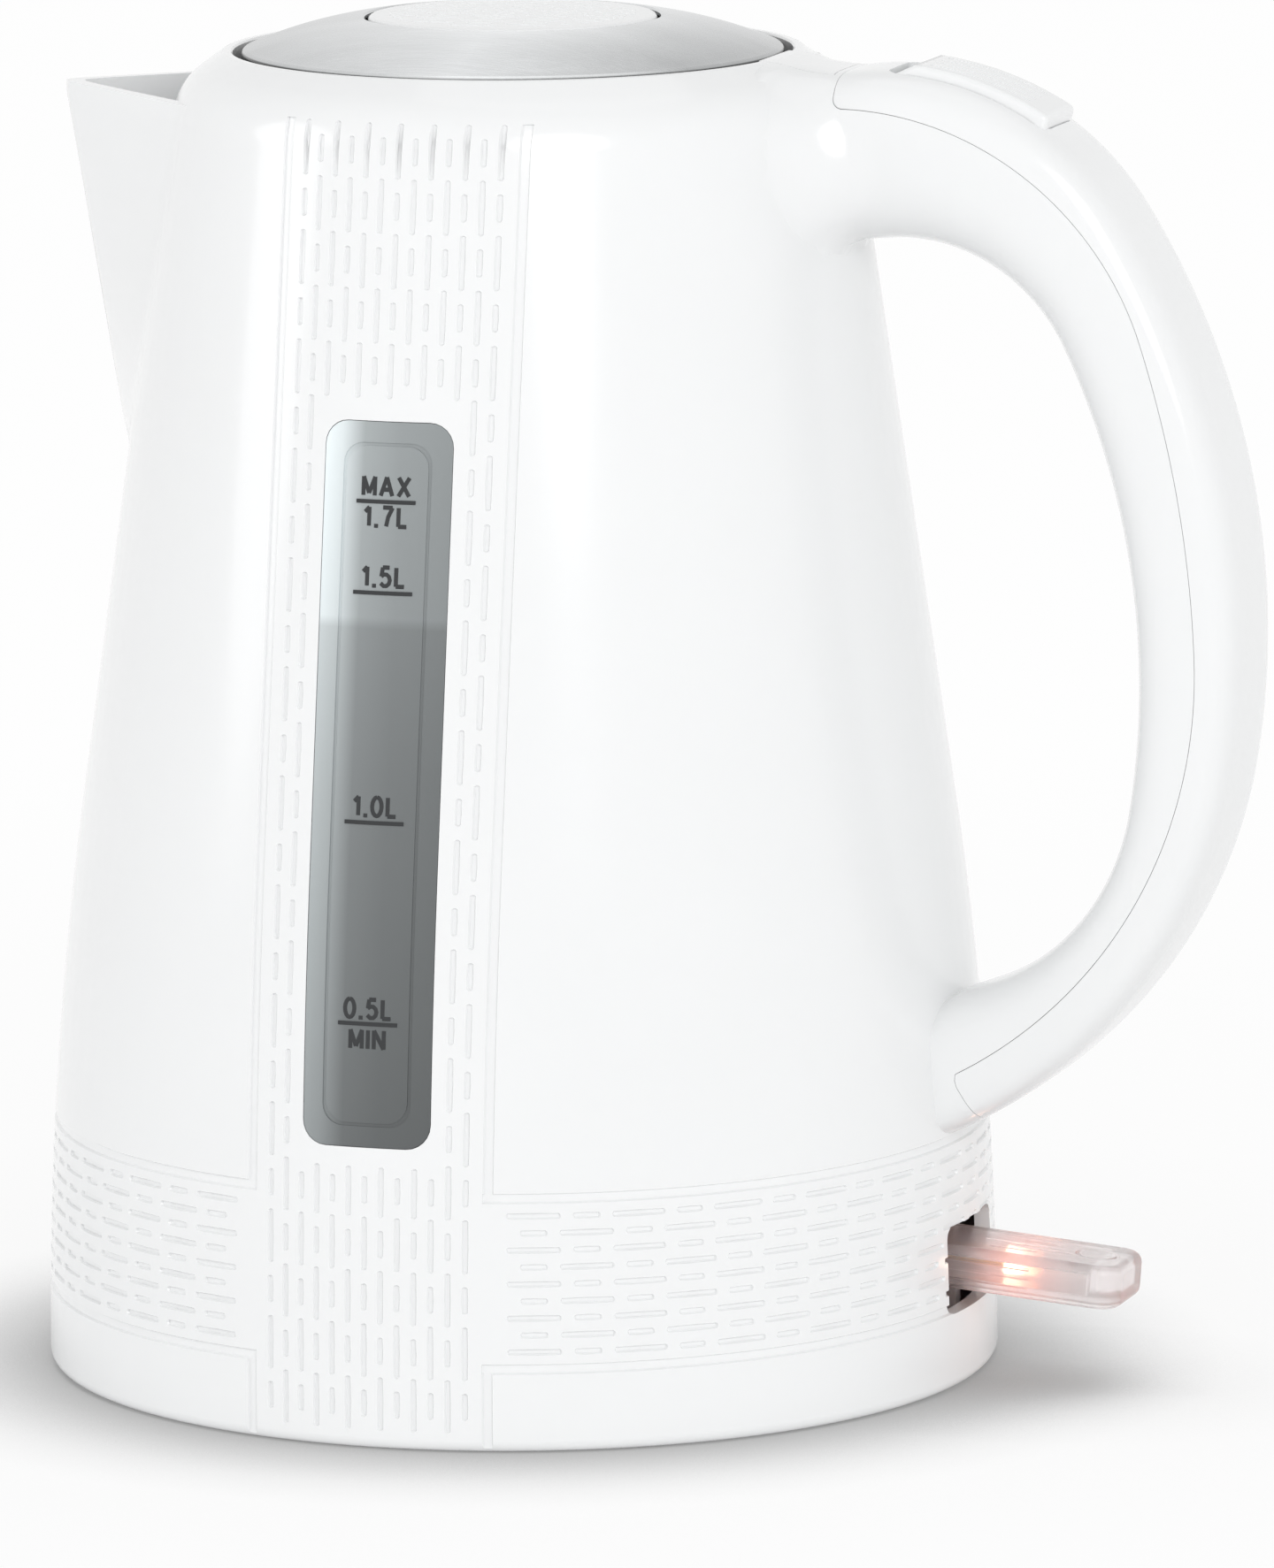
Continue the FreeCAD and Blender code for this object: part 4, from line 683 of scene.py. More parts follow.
def side(jug, height):
    """Radius of the jug's outer side at a height."""
    if height < jug.knee_height:
        return jug.base_radius - jug.bow + math.sqrt(jug.bow ** 2 - height ** 2)
    if height < jug.side_top:
        return jug.knee_radius - (height - jug.knee_height) * math.tan(jug.taper)
    reach = min(height, jug.shoulder_end[1]) - jug.turn[1]
    return jug.turn[0] + math.sqrt(jug.shoulder ** 2 - reach ** 2)


def spaced(low, high, pitch):
    """Even heights from low to high, both included."""
    count = max(1, round((high - low) / pitch))
    return [low + (high - low) * i / count for i in range(count + 1)]


def beak_reach(jug, height):
    """How far the beak's tip stands past the side at a height."""
    share = min(1, max(0, (height - jug.beak_low) / (jug.ledge - jug.beak_low)))
    start, run_out = 0.11, 0.12
    return jug.beak_overhang * ((1 - start) * share + start * min(1, share / run_out))


def beak_radius(jug, height, bearing, inset):
    """Radius of the beak at a bearing from the spout: straight flanks that meet the side at a soft crease."""
    blunt, narrow, soft, least = math.radians(1.2), 0.72, 0.5, 1e-6
    base = side(jug, height)
    tip = base + max(beak_reach(jug, height), least)
    spread = narrow * math.acos(base / tip)
    lean = math.atan2(tip / base - math.cos(spread), math.sin(spread))
    away = math.sqrt(bearing ** 2 + blunt ** 2) - blunt
    if away >= lean:
        return base - inset
    flank = (tip * math.cos(lean) - inset) / math.cos(lean - away)
    blend = max(0, 1 - abs(flank - base + inset) / soft) * min(1, (tip - base) / soft)
    return max(base - inset, flank) + blend ** 2 * soft / 4


def bearing_from_spout(x, y):
    """Angle of a point round the axis, from the spout's direction."""
    return math.atan2(y, -x)


def pull_beak(obj, jug, low, high, inset=0):
    """Draws the outer skin of a turned form out into the beak between two heights."""
    near = 0.01
    for vertex in obj.data.vertices:
        x, y, z = vertex.co
        radius = math.hypot(x, y)
        if low <= z <= high and abs(radius - side(jug, z) + inset) < near:
            stretch = beak_radius(jug, z, bearing_from_spout(x, y), inset) / radius
            vertex.co = (x * stretch, y * stretch, z)


def jug_outer_outline(jug):
    """Outer side from the foot to the end of the shoulder, with two close points at the beak's flat top."""
    coarse, fine, step, clear = 2.9, 0.75, 0.02, 0.3
    foot = (jug.base_radius - jug.foot_round, 0)
    skin = [(side(jug, z), z) for z in spaced(jug.foot_round, jug.side_top, coarse)]
    turn = [z for z in spaced(jug.side_top, jug.shoulder_end[1], fine)[1:] if abs(z - jug.ledge) > clear]
    shoulder = [(side(jug, z), z) for z in sorted(turn + [jug.ledge, jug.ledge + step])]
    return [foot] + arc(foot, skin[0], -jug.foot_round, 5) + skin[1:] + shoulder


def rim_edge(jug):
    """The soft outer edge of the rim."""
    return [(jug.rim_radius + 0.25, jug.rim - 0.1), (jug.rim_radius - 0.2, jug.rim)]


def jug_shell(jug):
    """The jug's wall with rim, lid ledge, plate flange and beak."""
    flange_top, flange_low, soft, pitch = 42, 39, 0.3, 6
    ledge, ledge_low = jug.mouth - jug.ledge_width, jug.ledge - jug.ledge_thick
    inner = [(side(jug, z) - jug.wall, z) for z in spaced(flange_top, ledge_low, pitch)]
    skirt = [(side(jug, z) - jug.wall, z) for z in spaced(0, flange_low, pitch)]
    flange = side(jug, flange_top) - jug.wall - jug.floor_flange
    outline = jug_outer_outline(jug) + rim_edge(jug)
    outline += [(jug.mouth + soft, jug.rim), (jug.mouth, jug.rim - soft), (jug.mouth, jug.ledge)]
    outline += [(ledge, jug.ledge), (ledge, ledge_low)] + inner[::-1]
    outline += [(flange, flange_top), (flange, flange_low)] + skirt[::-1]
    outline.append(outline[0])
    shell = turned("jug_shell", outline)
    pull_beak(shell, jug, jug.beak_low, jug.ledge + 0.01)
    return shell


def jug_plug(jug, inset=0):
    """The jug's outer form without its beak as a plain solid, smaller by an inset."""
    low, pitch, collar, above = -1, 2.2, jug.rim_radius - 0.5, jug.rim + 6
    outline = [(0, low), (jug.base_radius - inset, low)]
    outline += [(side(jug, z) - inset, z) for z in spaced(0, jug.shoulder_end[1], pitch)]
    return turned("jug_plug", outline + [(collar, jug.rim - 0.5), (collar, above), (0, above)])


def beak_channel(jug):
    """The hollow of the beak, in front of the jug's own wall."""
    top, pitch = jug.ledge + 1, 2.5
    heights = spaced(jug.beak_floor, jug.ledge, pitch) + [top]
    outline = [(0, jug.beak_floor)] + [(side(jug, z) - jug.beak_wall, z) for z in heights] + [(0, top)]
    channel = turned("beak_channel", outline)
    pull_beak(channel, jug, jug.beak_floor, top, jug.beak_wall)
    return carve(channel, jug_plug(jug))


def beak_opening(jug):
    """The opening behind the filter, through the jug's wall only."""
    low, high, low_half, high_half, inside, outside = 160, 203, 5.5, 21, 40, 90
    corners = [(-low_half, low), (low_half, low), (high_half, high), (-high_half, high)]
    opening = prism("beak_opening", corners, inside, outside)
    moved(opening, Matrix.Rotation(math.pi / 2, 4, "Z"))
    return carve(opening, jug_plug(jug), "INTERSECT")


def skin_normals(obj, jug):
    """Gives the jug's smooth skin the exact normals of its form, so that cuts leave no ripples in it."""
    mesh = obj.data
    normals = [Vector(corner.vector) for corner in mesh.corner_normals]
    near, alike, step, foot = 0.03, math.cos(math.radians(10)), 0.01, 1
    for face in mesh.polygons:
        for loop in face.loop_indices:
            x, y, z = mesh.vertices[mesh.loops[loop].vertex_index].co / MM
            radius = math.hypot(x, y)
            if not foot < z < jug.shoulder_end[1] or abs(radius - side(jug, z)) > near:
                continue
            slope = (side(jug, z - step) - side(jug, z + step)) / (2 * step)
            exact = Vector((x / radius, y / radius, slope)).normalized()
            if exact.dot(face.normal) > alike:
                normals[loop] = exact
    mesh.normals_split_custom_set(normals)


# Pattern


def trough_halves(width, depth):
    """Half the width of a groove's cutter at its floor, at the surface and above it."""
    return width / 2 - 0.5 * depth, width / 2, width / 2 + 0.4 * depth


def trough(width, depth):
    """Cross-section of a groove's cutter: (across, out) points round a trough with sloping sides."""
    floor, surface, lip = trough_halves(width, depth)
    return [(-lip, depth), (-surface, 0), (-floor, -depth), (floor, -depth), (surface, 0), (lip, depth)]


def dash_cutter(pattern):
    """One dash at the origin with its floor below Z 0: two round ends with no straight part between."""
    floor, surface, lip = trough_halves(pattern.width, pattern.depth)
    deselect()
    bpy.ops.mesh.primitive_circle_add(vertices=12, radius=floor, fill_type="NGON",
                                      location=(0, 0, -pattern.depth))
    dash = bpy.context.object
    with editing(dash):
        for spread in (surface, lip):
            bpy.ops.mesh.extrude_region_move(TRANSFORM_OT_translate={"value": (0, 0, pattern.depth)})
            wide = max(vertex.co.x for vertex in bmesh.from_edit_mesh(dash.data).verts if vertex.select)
            bpy.ops.transform.resize(value=(spread / wide, spread / wide, 1), center_override=(0, 0, 0))
        close_up()
    bpy.ops.object.transform_apply(location=True)
    return dash


def laid_dash(dash, pattern, long, wrap):
    """A copy of the dash, drawn out to a length and wrapped on a surface by wrap(across, along, out)."""
    twin = copied(dash, "dash")
    stretch, middle = max(0, (long - pattern.width) / 2), 1e-5
    for vertex in twin.data.vertices:
        across, along, out = vertex.co
        along += math.copysign(stretch, along) if abs(along) > middle else 0
        vertex.co = wrap(across, along, out)
    return twin


def on_side(jug, face, across, height, out):
    """A point on the front or back of the jug, across from its middle."""
    radius = side(jug, height) + out
    return (across, face * math.sqrt(radius ** 2 - across ** 2), height)


def round_side(jug, start, run, height, out):
    """A point on the jug at a run in millimetres round it from a starting angle."""
    base = side(jug, height)
    at = start + run / base
    return ((base + out) * math.cos(at), (base + out) * math.sin(at), height)


def upright_dashes(jug, pattern, window, dash):
    """Dashes of the upright bands on the front and the back; the ones at the window are cut short."""
    end_room, side_room = 3, 1.2
    clear_low, clear_high = window.bottom - end_room, window.top + end_room
    clear_half = window.half + side_room
    pieces = []
    for face in (FRONT, BACK):
        for row in range(pattern.rows):
            for column in range(-pattern.columns, pattern.columns + 1):
                long = pattern.long_dash if (row + column) % 2 == 1 else pattern.short_dash
                low = pattern.first_row + pattern.along * row - long / 2
                high = low + long
                if abs(column) * pattern.across < clear_half and high > clear_low and low < clear_high:
                    above = high > clear_high
                    low, high = (max(low, clear_high), high) if above else (low, min(high, clear_low))
                if high - low < SHORTEST_DASH:
                    continue
                middle, x = (low + high) / 2, column * pattern.across
                pieces.append(laid_dash(dash, pattern, high - low, lambda across, along, out: on_side(
                    jug, face, x + across, middle + along, out)))
    return pieces


def level_dashes(jug, pattern, dash):
    """Dashes of the band low on the jug, round both of its flanks."""
    edge_room, end_room = 4, 1.5
    rows = int((pattern.band_top - pattern.band_bottom - edge_room) / pattern.across) + 1
    first = (pattern.band_top + pattern.band_bottom) / 2 - (rows - 1) / 2 * pattern.across
    pieces = []
    for flank in (0, math.pi):
        base = side(jug, first)
        reach = base * math.acos((pattern.frame_at + end_room) / base) - pattern.long_dash / 2
        count = int(reach / pattern.along)
        for row in range(rows):
            height = first + row * pattern.across
            for place in range(-count, count + 1):
                long = pattern.long_dash if (row + place) % 2 else pattern.short_dash
                run = place * pattern.along * side(jug, height) / base
                pieces.append(laid_dash(dash, pattern, long, lambda across, along, out: round_side(
                    jug, flank, run + along, height + across, out)))
    return pieces


def groove(name, section, stations, wrap):
    """A trough along stations; wrap(across, station, out) gives its points."""
    closed = section + section[:1]

    def place(u, v):
        across, out = closed[round(u * len(section))]
        return wrap(across, stations[round(v * (len(stations) - 1))], out)

    return tube(name, len(section), len(stations) - 1, place)


def frame_grooves(jug, pattern):
    """Grooves that frame the smooth panels: uprights first, then the level ones."""
    section = trough(pattern.frame_width, pattern.frame_depth)
    top = pattern.first_row + pattern.along * (pattern.rows - 1) + pattern.long_dash / 2
    below, pitch, turn = -2, 3, 0.03
    uprights, levels = [], []
    for face in (FRONT, BACK):
        for middle in (-pattern.frame_at, pattern.frame_at):
            for low, high in ((pattern.band_top, top), (below, pattern.band_bottom)):
                stations = spaced(low, high, pitch)
                uprights.append(groove("upright", section, stations, lambda across, z, out: (
                    *on_side(jug, face, middle + across, max(z, 0), out)[:2], z)))
    for height in (pattern.band_bottom, pattern.band_top):
        edge = math.acos((pattern.frame_at - pattern.frame_width / 2) / side(jug, height))
        for flank in (0, math.pi):
            stations = spaced(-edge, edge, turn)
            levels.append(groove("level", section, stations, lambda across, at, out: round_side(
                jug, flank + at, 0, height + across, out)))
    return joined("upright_grooves", uprights), joined("level_grooves", levels)


# Handle


def chain(corners, radii, counts):
    """Points along arcs from corner to corner."""
    points = [corners[0]]
    for here, there, radius, count in zip(corners, corners[1:], radii, counts):
        points += arc(here, there, radius, count)
    return points


def handle_stations():
    """Matched points on the outer and inner side of the handle, with its roundness, root to foot."""
    counts = (24, 34, 26)
    outer = chain([(58.5, 215.5), (105.3, 194.5), (124.1, 104.4), (75.1, 41.4)], (47.1, 128.5, 83.1), counts)
    inner = chain([(67, 188.4), (95.5, 171), (106.1, 96.4), (82.1, 66.9)], (30.6, 125, 38.4), counts)
    steps, start, hump, dip = 20, 44, 1.5, 1
    root_round, foot_round = 2.3, 3
    (out_x, out_z), (in_x, in_z) = outer[0], inner[0]
    root = []
    for share in (i / steps for i in range(steps)):
        rise, fall = hump * min(1, (1 - share) * 1.28) ** 1.6, dip * (1 - share ** 2)
        root.append(((start + (out_x - start) * share, out_z + rise),
                     (start + (in_x - start) * share, in_z - fall)))
    foot = [((73.6, 40.8), (77.6, 65.2)), ((71.4, 40.0), (72.6, 63.0))]
    pairs = root + list(zip(outer, inner)) + foot
    growth = (foot_round - root_round) / (len(pairs) - 1)
    return [(Vector(out_point), Vector(in_point), root_round + growth * i)
            for i, (out_point, in_point) in enumerate(pairs)]


def handle_form(handle, inset=0, jug=None):
    """The whole handle as a loft of rings, flat over the cover and round where the fingers hold it. Its upper
    root is blended into the jug if the jug is given."""
    stations = handle_stations()
    cover_square, columns, upper_half = 4.4, 64, 0.5

    def place(u, v):
        out_point, in_point, roundness = stations[round(v * (len(stations) - 1))]
        middle, arm = (out_point + in_point) / 2, (out_point - in_point) / 2
        arm = arm * (1 - inset / arm.length)
        turn = math.tau * u
        along, across = math.cos(turn), math.sin(turn)
        power = cover_square if along > 0 else roundness
        reach = (abs(along) ** power + abs(across) ** power) ** (-1 / power)
        spot = middle + arm * along * reach
        point = Vector((spot.x, (handle.half_width - inset) * across * reach, spot.y))
        if jug and v < upper_half:
            under = arm.normalized() * min(along, 0)
            radius = handle.flank_fillet * across ** 2 + handle.under_fillet * min(along, 0) ** 2
            point = blended(jug, point, Vector((under.x, across, under.y)), radius)
        return point

    return tube("handle_form", columns, len(stations) - 1, place)


def blended(jug, point, way, radius):
    """A point of the handle, moved along way by a round blend of a radius as it comes near the jug. The blend
    ends a little below the jug's skin, so that the two cross at a clear angle."""
    least, below, rounds = 0.05, 0.25, 30
    if radius < least:
        return point
    way = way.normalized()
    reach = 0
    for _ in range(rounds):
        x, y, z = point + way * reach
        gap = min(max(math.hypot(x, y) - side(jug, z) + below, 0), radius)
        reach += (radius - math.sqrt(radius ** 2 - (radius - gap) ** 2) - reach) / 2
    return point + way * reach


def beside(line, distance):
    """The points of a line, each moved a distance to the right of its run."""
    points = []
    for i, point in enumerate(line):
        before, after = Vector(line[max(0, i - 1)]), Vector(line[min(len(line) - 1, i + 1)])
        run = (after - before).normalized()
        points.append((point[0] + run.y * distance, point[1] - run.x * distance))
    return points


def parting_region(grow):
    """The cover's share of the handle, seen from the side, larger by grow along the parting line."""
    front, corner, start, low, high, far, half = 58.8, 1.6, 210.3, 35, 240, 150, 30
    turn = (front, start + corner)
    corners = [(front + corner, start), (109.7, 175.6), (119.4, 123.2), (79.1, 53.3)]
    line = [(front, 214), turn] + arc(turn, corners[0], -1.02 * corner, 6)[:-1]
    line += chain(corners, (53, 182, 76), (36, 24, 40))
    line += [(79.0, 52.2), (79.3, 51.2), (81.7, 47.1), (88.5, low)]
    outline = beside(line, grow) + [(far, low), (far, high), (front - grow, high)]
    return prism("parting_region", outline, -half, half)


def button_frame():
    """Place of the button: its middle on the handle, tilted down towards the hand."""
    middle = (80, 0, 213.04)
    return Matrix.Translation(middle) @ Matrix.Rotation(sizes("kettle_handle").button_tilt, 4, "Y")


def handle_bay(handle):
    """The hollow under the button for its springs and the latch."""
    bed, above, front, end, half = 193.04, 230, 58.3, 97, 11
    block = prism("bay_block", [(front, bed), (end, bed), (end, above), (front, above)], -half, half)
    return carve(handle_form(handle, handle.wall), block, "INTERSECT")


def button_well(handle):
    """The hole that the button comes through."""
    long = handle.button_half_long + handle.button_gap
    wide = handle.button_half_wide + handle.button_gap
    corner, deep = handle.button_corner + handle.button_gap, 12
    well = prism("button_well", rounded_rectangle(-long, long, -wide, wide, corner), -deep, deep)
    moved(well, Matrix.Rotation(math.pi / 2, 4, "X"))
    return moved(well, button_frame())


def round_hinge(jug, lid, reach, height):
    """The point at a height behind the hinge, at a reach from its axis."""
    drop = jug.rim - lid.hinge_drop - height
    return (jug.mouth + lid.hinge_out + math.sqrt(reach ** 2 - drop ** 2), height)


def hinge_pocket(jug, lid):
    """Room for the lid's knuckle, open towards the mouth and round behind the hinge."""
    reach, half = lid.tail + lid.hinge_gap, lid.knuckle_half + lid.hinge_gap
    bed, step, above = jug.rim - 10.5, jug.rim - 6.5, jug.rim + 15
    back, top = round_hinge(jug, lid, reach, jug.rim - lid.hinge_drop), round_hinge(jug, lid, reach, jug.rim)
    front, deep, behind = jug.mouth - 1.5, jug.mouth + lid.hinge_out - 3.3, back[0] + 0.2
    corners = [(deep, bed), (behind, bed), (behind, back[1] - 0.5), back]
    corners += arc(back, top, -reach, 6) + [(top[0], above), (front, above), (front, step), (deep, step)]
    return prism("hinge_pocket", corners, -half, half)


def handle_grip(jug, handle):
    """The inner half of the handle, with its roots trimmed to the middle of the jug's wall."""
    grip = handle_form(handle, jug=jug)
    carve(grip, parting_region(handle.gap / 2))
    carve(grip, handle_bay(handle))
    return carve(grip, jug_plug(jug, jug.wall / 2))


def round_corners(obj, end, radius):
    """Rounds the edges of a prism that join points at plus or minus end along X, except those along Y."""
    near = 0.01
    with editing(obj):
        mesh = bmesh.from_edit_mesh(obj.data)
        for edge in mesh.edges:
            first, second = (vertex.co for vertex in edge.verts)
            at_end = abs(abs(first.x) - end) < near and abs(abs(second.x) - end) < near
            edge.select_set(at_end and abs(first.y - second.y) < near)
        mesh.select_flush_mode()
        bmesh.update_edit_mesh(obj.data)
        bpy.ops.mesh.select_mode(type="EDGE")
        bpy.ops.mesh.bevel(offset=radius, segments=6, affect="EDGES")
        bpy.ops.mesh.select_mode(type="VERT")
        close_up()


def button_top(handle, along):
    """Height of the button's crown at a place along it."""
    return handle.button_proud - along ** 2 / (2 * handle.button_crown)


def grip_lines(handle):
    """Cutters for the lines along the button's crown."""
    count, between, start, end, pitch = 4, 3.2, -8.0, 9.5, 1.2
    section = trough(1.0, 0.45)
    lines = []
    for i in range(count):
        y = (i - (count - 1) / 2) * between
        lines.append(groove("grip_line", section, spaced(start, end, pitch), lambda across, along, out: (
            along, y + across, button_top(handle, along) + out)))
    return joined("grip_lines", lines)


def button_key(handle):
    """The lid button in its place, with a flange under the cover and a ramp that draws the latch."""
    long, wide = handle.button_half_long, handle.button_half_wide
    deep, nose, edge, lip, overlap, ramp_half = -4.9, -2.4, 1.0, 1.4, 0.01, 5
    start = handle.button_wedge - long
    crest = (start, button_top(handle, start))
    crown = [(-long, nose), crest] + arc(crest, (long, button_top(handle, long)), handle.button_crown, 20)
    key = prism("button", [(-long, deep)] + crown + [(long, deep)], -wide, wide)
    round_corners(key, long, handle.button_corner)
    soften(key, edge, 4)
    carve(key, grip_lines(handle))
    low, high, end, out = deep - lip, deep + overlap, long + lip, wide + lip
    flange = prism("button_flange", [(-end, low), (end, low), (end, high), (-end, high)], -out, out)
    moved(carve(key, flange, "UNION"), button_frame())
    corners = [(75.8, 198.4), (77.8, 198.4), (80.4, 201.0), (80.4, 208.5), (75.8, 208.5)]
    return carve(key, prism("button_ramp", corners, -ramp_half, ramp_half), "UNION")


# Lid, windows and lever


def cap_outline(jug, lid):
    """The steel cap's section: crown, rolled edge and skirt."""
    radius, skirt, top, hole = jug.mouth - 1.4, jug.rim - 3.6, jug.rim + 5.4, lid.disc + lid.disc_gap
    lip, start = [(hole, top - 0.3)], (hole + 0.4, top)
    edge = (radius - lid.edge_round, jug.rim + 0.45)
    crown = [start] + arc(start, edge, lid.dome, 18)
    roll = arc(edge, (radius, jug.rim - 0.6), lid.edge_round * 1.05, 6)
    bore, inner_edge = radius - lid.sheet, (edge[0] - 0.2, edge[1] - lid.sheet)
    wall = [(radius, skirt), (bore, skirt), (bore, inner_edge[1] - 0.6), inner_edge]
    inside = arc(inner_edge, (hole, top - lid.sheet), -lid.dome, 10)
    return lip + crown + roll + wall + inside + lip


def lid_plug(jug, lid, handle):
    """The lid's inner moulding: plug, flange, boss for the disc, arm, and knuckle flush with the rim."""
    flange_top = jug.rim - 3.6
    flange = flange_top - 1.8
    plug, foot, boss, boss_bore = jug.mouth - jug.ledge_width - 1.2, jug.rim - 13, 25, 22
    edge, wall, soft, boss_top = jug.mouth - 1.8, 2, 0.5, jug.rim + 3.8
    bore, bore_long = 1.65, 30
    bowl = turned("lid_plug", [
        (0, flange), (plug - wall, flange), (plug - wall, foot), (plug - soft, foot), (plug, foot + soft),
        (plug, flange), (edge, flange), (edge, flange_top), (boss, flange_top), (boss, boss_top),
        (boss_bore, boss_top), (boss_bore, flange_top), (0, flange_top)])
    front, axis, above = jug.mouth - 1, jug.mouth + lid.hinge_out, jug.rim + 1
    low, high = round_hinge(jug, lid, lid.tail, flange), round_hinge(jug, lid, lid.tail, above)
    knuckle = prism("lid_knuckle", [(front, flange), low] + arc(low, high, -lid.tail, 8) + [(front, above)],
                    -lid.knuckle_half, lid.knuckle_half)
    outer = [point for point in jug_outer_outline(jug) if point[1] > jug.beak_floor]
    skin = turned("rim_skin", [(0, jug.beak_floor)] + outer + rim_edge(jug) + [(0, jug.rim)])
    carve(knuckle, carve(skin, handle_form(handle, jug=jug), "UNION"), "INTERSECT")
    arm = prism("lid_arm", [(boss, flange), (axis, flange), (axis, flange_top), (boss, flange_top)],
                -lid.knuckle_half, lid.knuckle_half)
    for piece in (arm, knuckle):
        carve(bowl, piece, "UNION")
    deselect()
    bpy.ops.mesh.primitive_cylinder_add(vertices=32, radius=bore, depth=bore_long,
                                        rotation=(math.pi / 2, 0, 0),
                                        location=(axis, 0, jug.rim - lid.hinge_drop))
    bpy.ops.object.transform_apply()
    return carve(bowl, bpy.context.object)


def disc_height(jug, lid, away):
    """Height of the crowned disc at a distance from the axis."""
    top, crown = jug.rim + 6.1, 0.6
    return top - crown * (away / lid.disc) ** 2


def disc_dashes(jug, lid, pattern):
    """Dashes across the disc, in rows along the handle's direction."""
    reach, places, shallow = 20.2, 3, 0.7

    def on_disc(x, y, out):
        return (x, y, disc_height(jug, lid, math.hypot(x, y)) + out * shallow)

    dash = dash_cutter(pattern)
    pieces = []
    rows = int(reach / pattern.across)
    for row in range(-rows, rows + 1):
        y = row * pattern.across
        room = math.sqrt(reach ** 2 - y ** 2)
        for place in range(-places, places + 1):
            long = pattern.long_dash if (row + place) % 2 else pattern.short_dash
            x = place * pattern.along
            low, high = max(x - long / 2, -room), min(x + long / 2, room)
            if high - low < SHORTEST_DASH:
                continue
            middle = (low + high) / 2
            pieces.append(laid_dash(dash, pattern, high - low, lambda across, along, out: on_disc(
                middle + along, y + across, out)))
    bpy.data.objects.remove(dash)
    return joined("disc_dashes", pieces)


def lid_disc(jug, lid, pattern):
    """The crowned disc with its rolled edge and its dashes."""
    edge, low, pitch, steps = lid.disc, jug.rim + 3.8, 2.5, 160
    top = [(away, disc_height(jug, lid, away)) for away in spaced(0, edge - lid.disc_round, pitch)]
    roll = arc(top[-1], (edge, disc_height(jug, lid, edge) - lid.disc_round), lid.disc_round * 1.05, 5)
    disc = turned("lid_disc", [(0, low)] + top + roll + [(edge, low), (0, low)], steps)
    return carve(disc, disc_dashes(jug, lid, pattern))


def pane_ring(jug, outer, inner):
    """A ring of the jug's side between two depths below its skin."""
    low, high, pitch = 40, 172, 3
    heights = spaced(low, high, pitch)
    outline = [(side(jug, z) - outer, z) for z in heights]
    outline += [(side(jug, z) - inner, z) for z in heights[::-1]]
    return turned("pane_ring", outline + outline[:1])


def window_outline(window, inset, corner):
    """The window's outline from the front, an inset inside its edge."""
    half = window.half - inset
    return rounded_rectangle(-half, half, window.bottom + inset, window.top - inset, corner)


def window_pane(jug, window, face):
    """A clear pane, flush with the jug's side, with a fine line round its border."""
    slack, sunk, thick = 0.12, 0.08, jug.wall + 0.4
    line_wide, line_deep, line_corner, above = 0.55, 0.3, window.corner - 0.6, -1
    reach = sorted((face * 40, face * 90))
    pane = prism("pane", window_outline(window, slack, window.corner - slack), *reach)
    carve(pane, pane_ring(jug, sunk, thick), "INTERSECT")
    line = prism("pane_line", window_outline(window, window.border, line_corner), *reach)
    carve(line, prism("pane_core", window_outline(window, window.border + line_wide, line_corner), -100, 100))
    return carve(pane, carve(line, pane_ring(jug, above, line_deep), "INTERSECT"))


def letter_strokes(sign):
    """Strokes of one sign of the scale, as (right, up) points in parts of its height, and its width."""
    turns = [math.tau * i / 16 for i in range(17)]
    bow = [(0.27 - 0.27 * math.sin(at), 0.5 + 0.5 * math.cos(at)) for at in turns]
    belly = [(0.24 + 0.28 * math.cos(at), 0.32 + 0.32 * math.sin(at))
             for at in map(math.radians, (140, 105, 70, 35, 0, -35, -70, -105, -150))]
    signs = {
        "M": ([[(0, 0), (0, 1)], [(0, 1), (0.33, 0.12)], [(0.33, 0.12), (0.66, 1)],
               [(0.66, 1), (0.66, 0)]], 0.66),
        "A": ([[(0, 0), (0.33, 1)], [(0.33, 1), (0.66, 0)], [(0.12, 0.33), (0.54, 0.33)]], 0.66),
        "X": ([[(0, 0), (0.6, 1)], [(0, 1), (0.6, 0)]], 0.6),
        "I": ([[(0, 0), (0, 1)]], 0),
        "N": ([[(0, 0), (0, 1)], [(0, 1), (0.56, 0)], [(0.56, 0), (0.56, 1)]], 0.56),
        "L": ([[(0, 1), (0, 0)], [(0, 0), (0.46, 0)]], 0.46),
        "1": ([[(0.06, 0.74), (0.3, 1)], [(0.3, 1), (0.3, 0)]], 0.34),
        "7": ([[(0, 1), (0.54, 1)], [(0.54, 1), (0.3, 0.5), (0.2, 0)]], 0.54),
        "5": ([[(0.48, 1), (0.1, 1)], [(0.1, 1), (0.03, 0.52)], belly], 0.52),
        "0": ([bow], 0.54),
        ".": ([[(0.03, -0.1), (0.03, 0.11)]], 0.06),
    }
    return signs[sign]


def stroke(points, thick):
    """A round stroke through points in the plane, along a chain of edges."""
    line = thread("stroke", [(x, y, 0) for x, y in points])
    pick(line)
    bpy.ops.object.convert(target="CURVE")
    line = bpy.context.object
    line.data.bevel_depth = thick / 2
    line.data.bevel_resolution = 2
    line.data.use_fill_caps = True
    bpy.ops.object.convert(target="MESH")
    return bpy.context.object


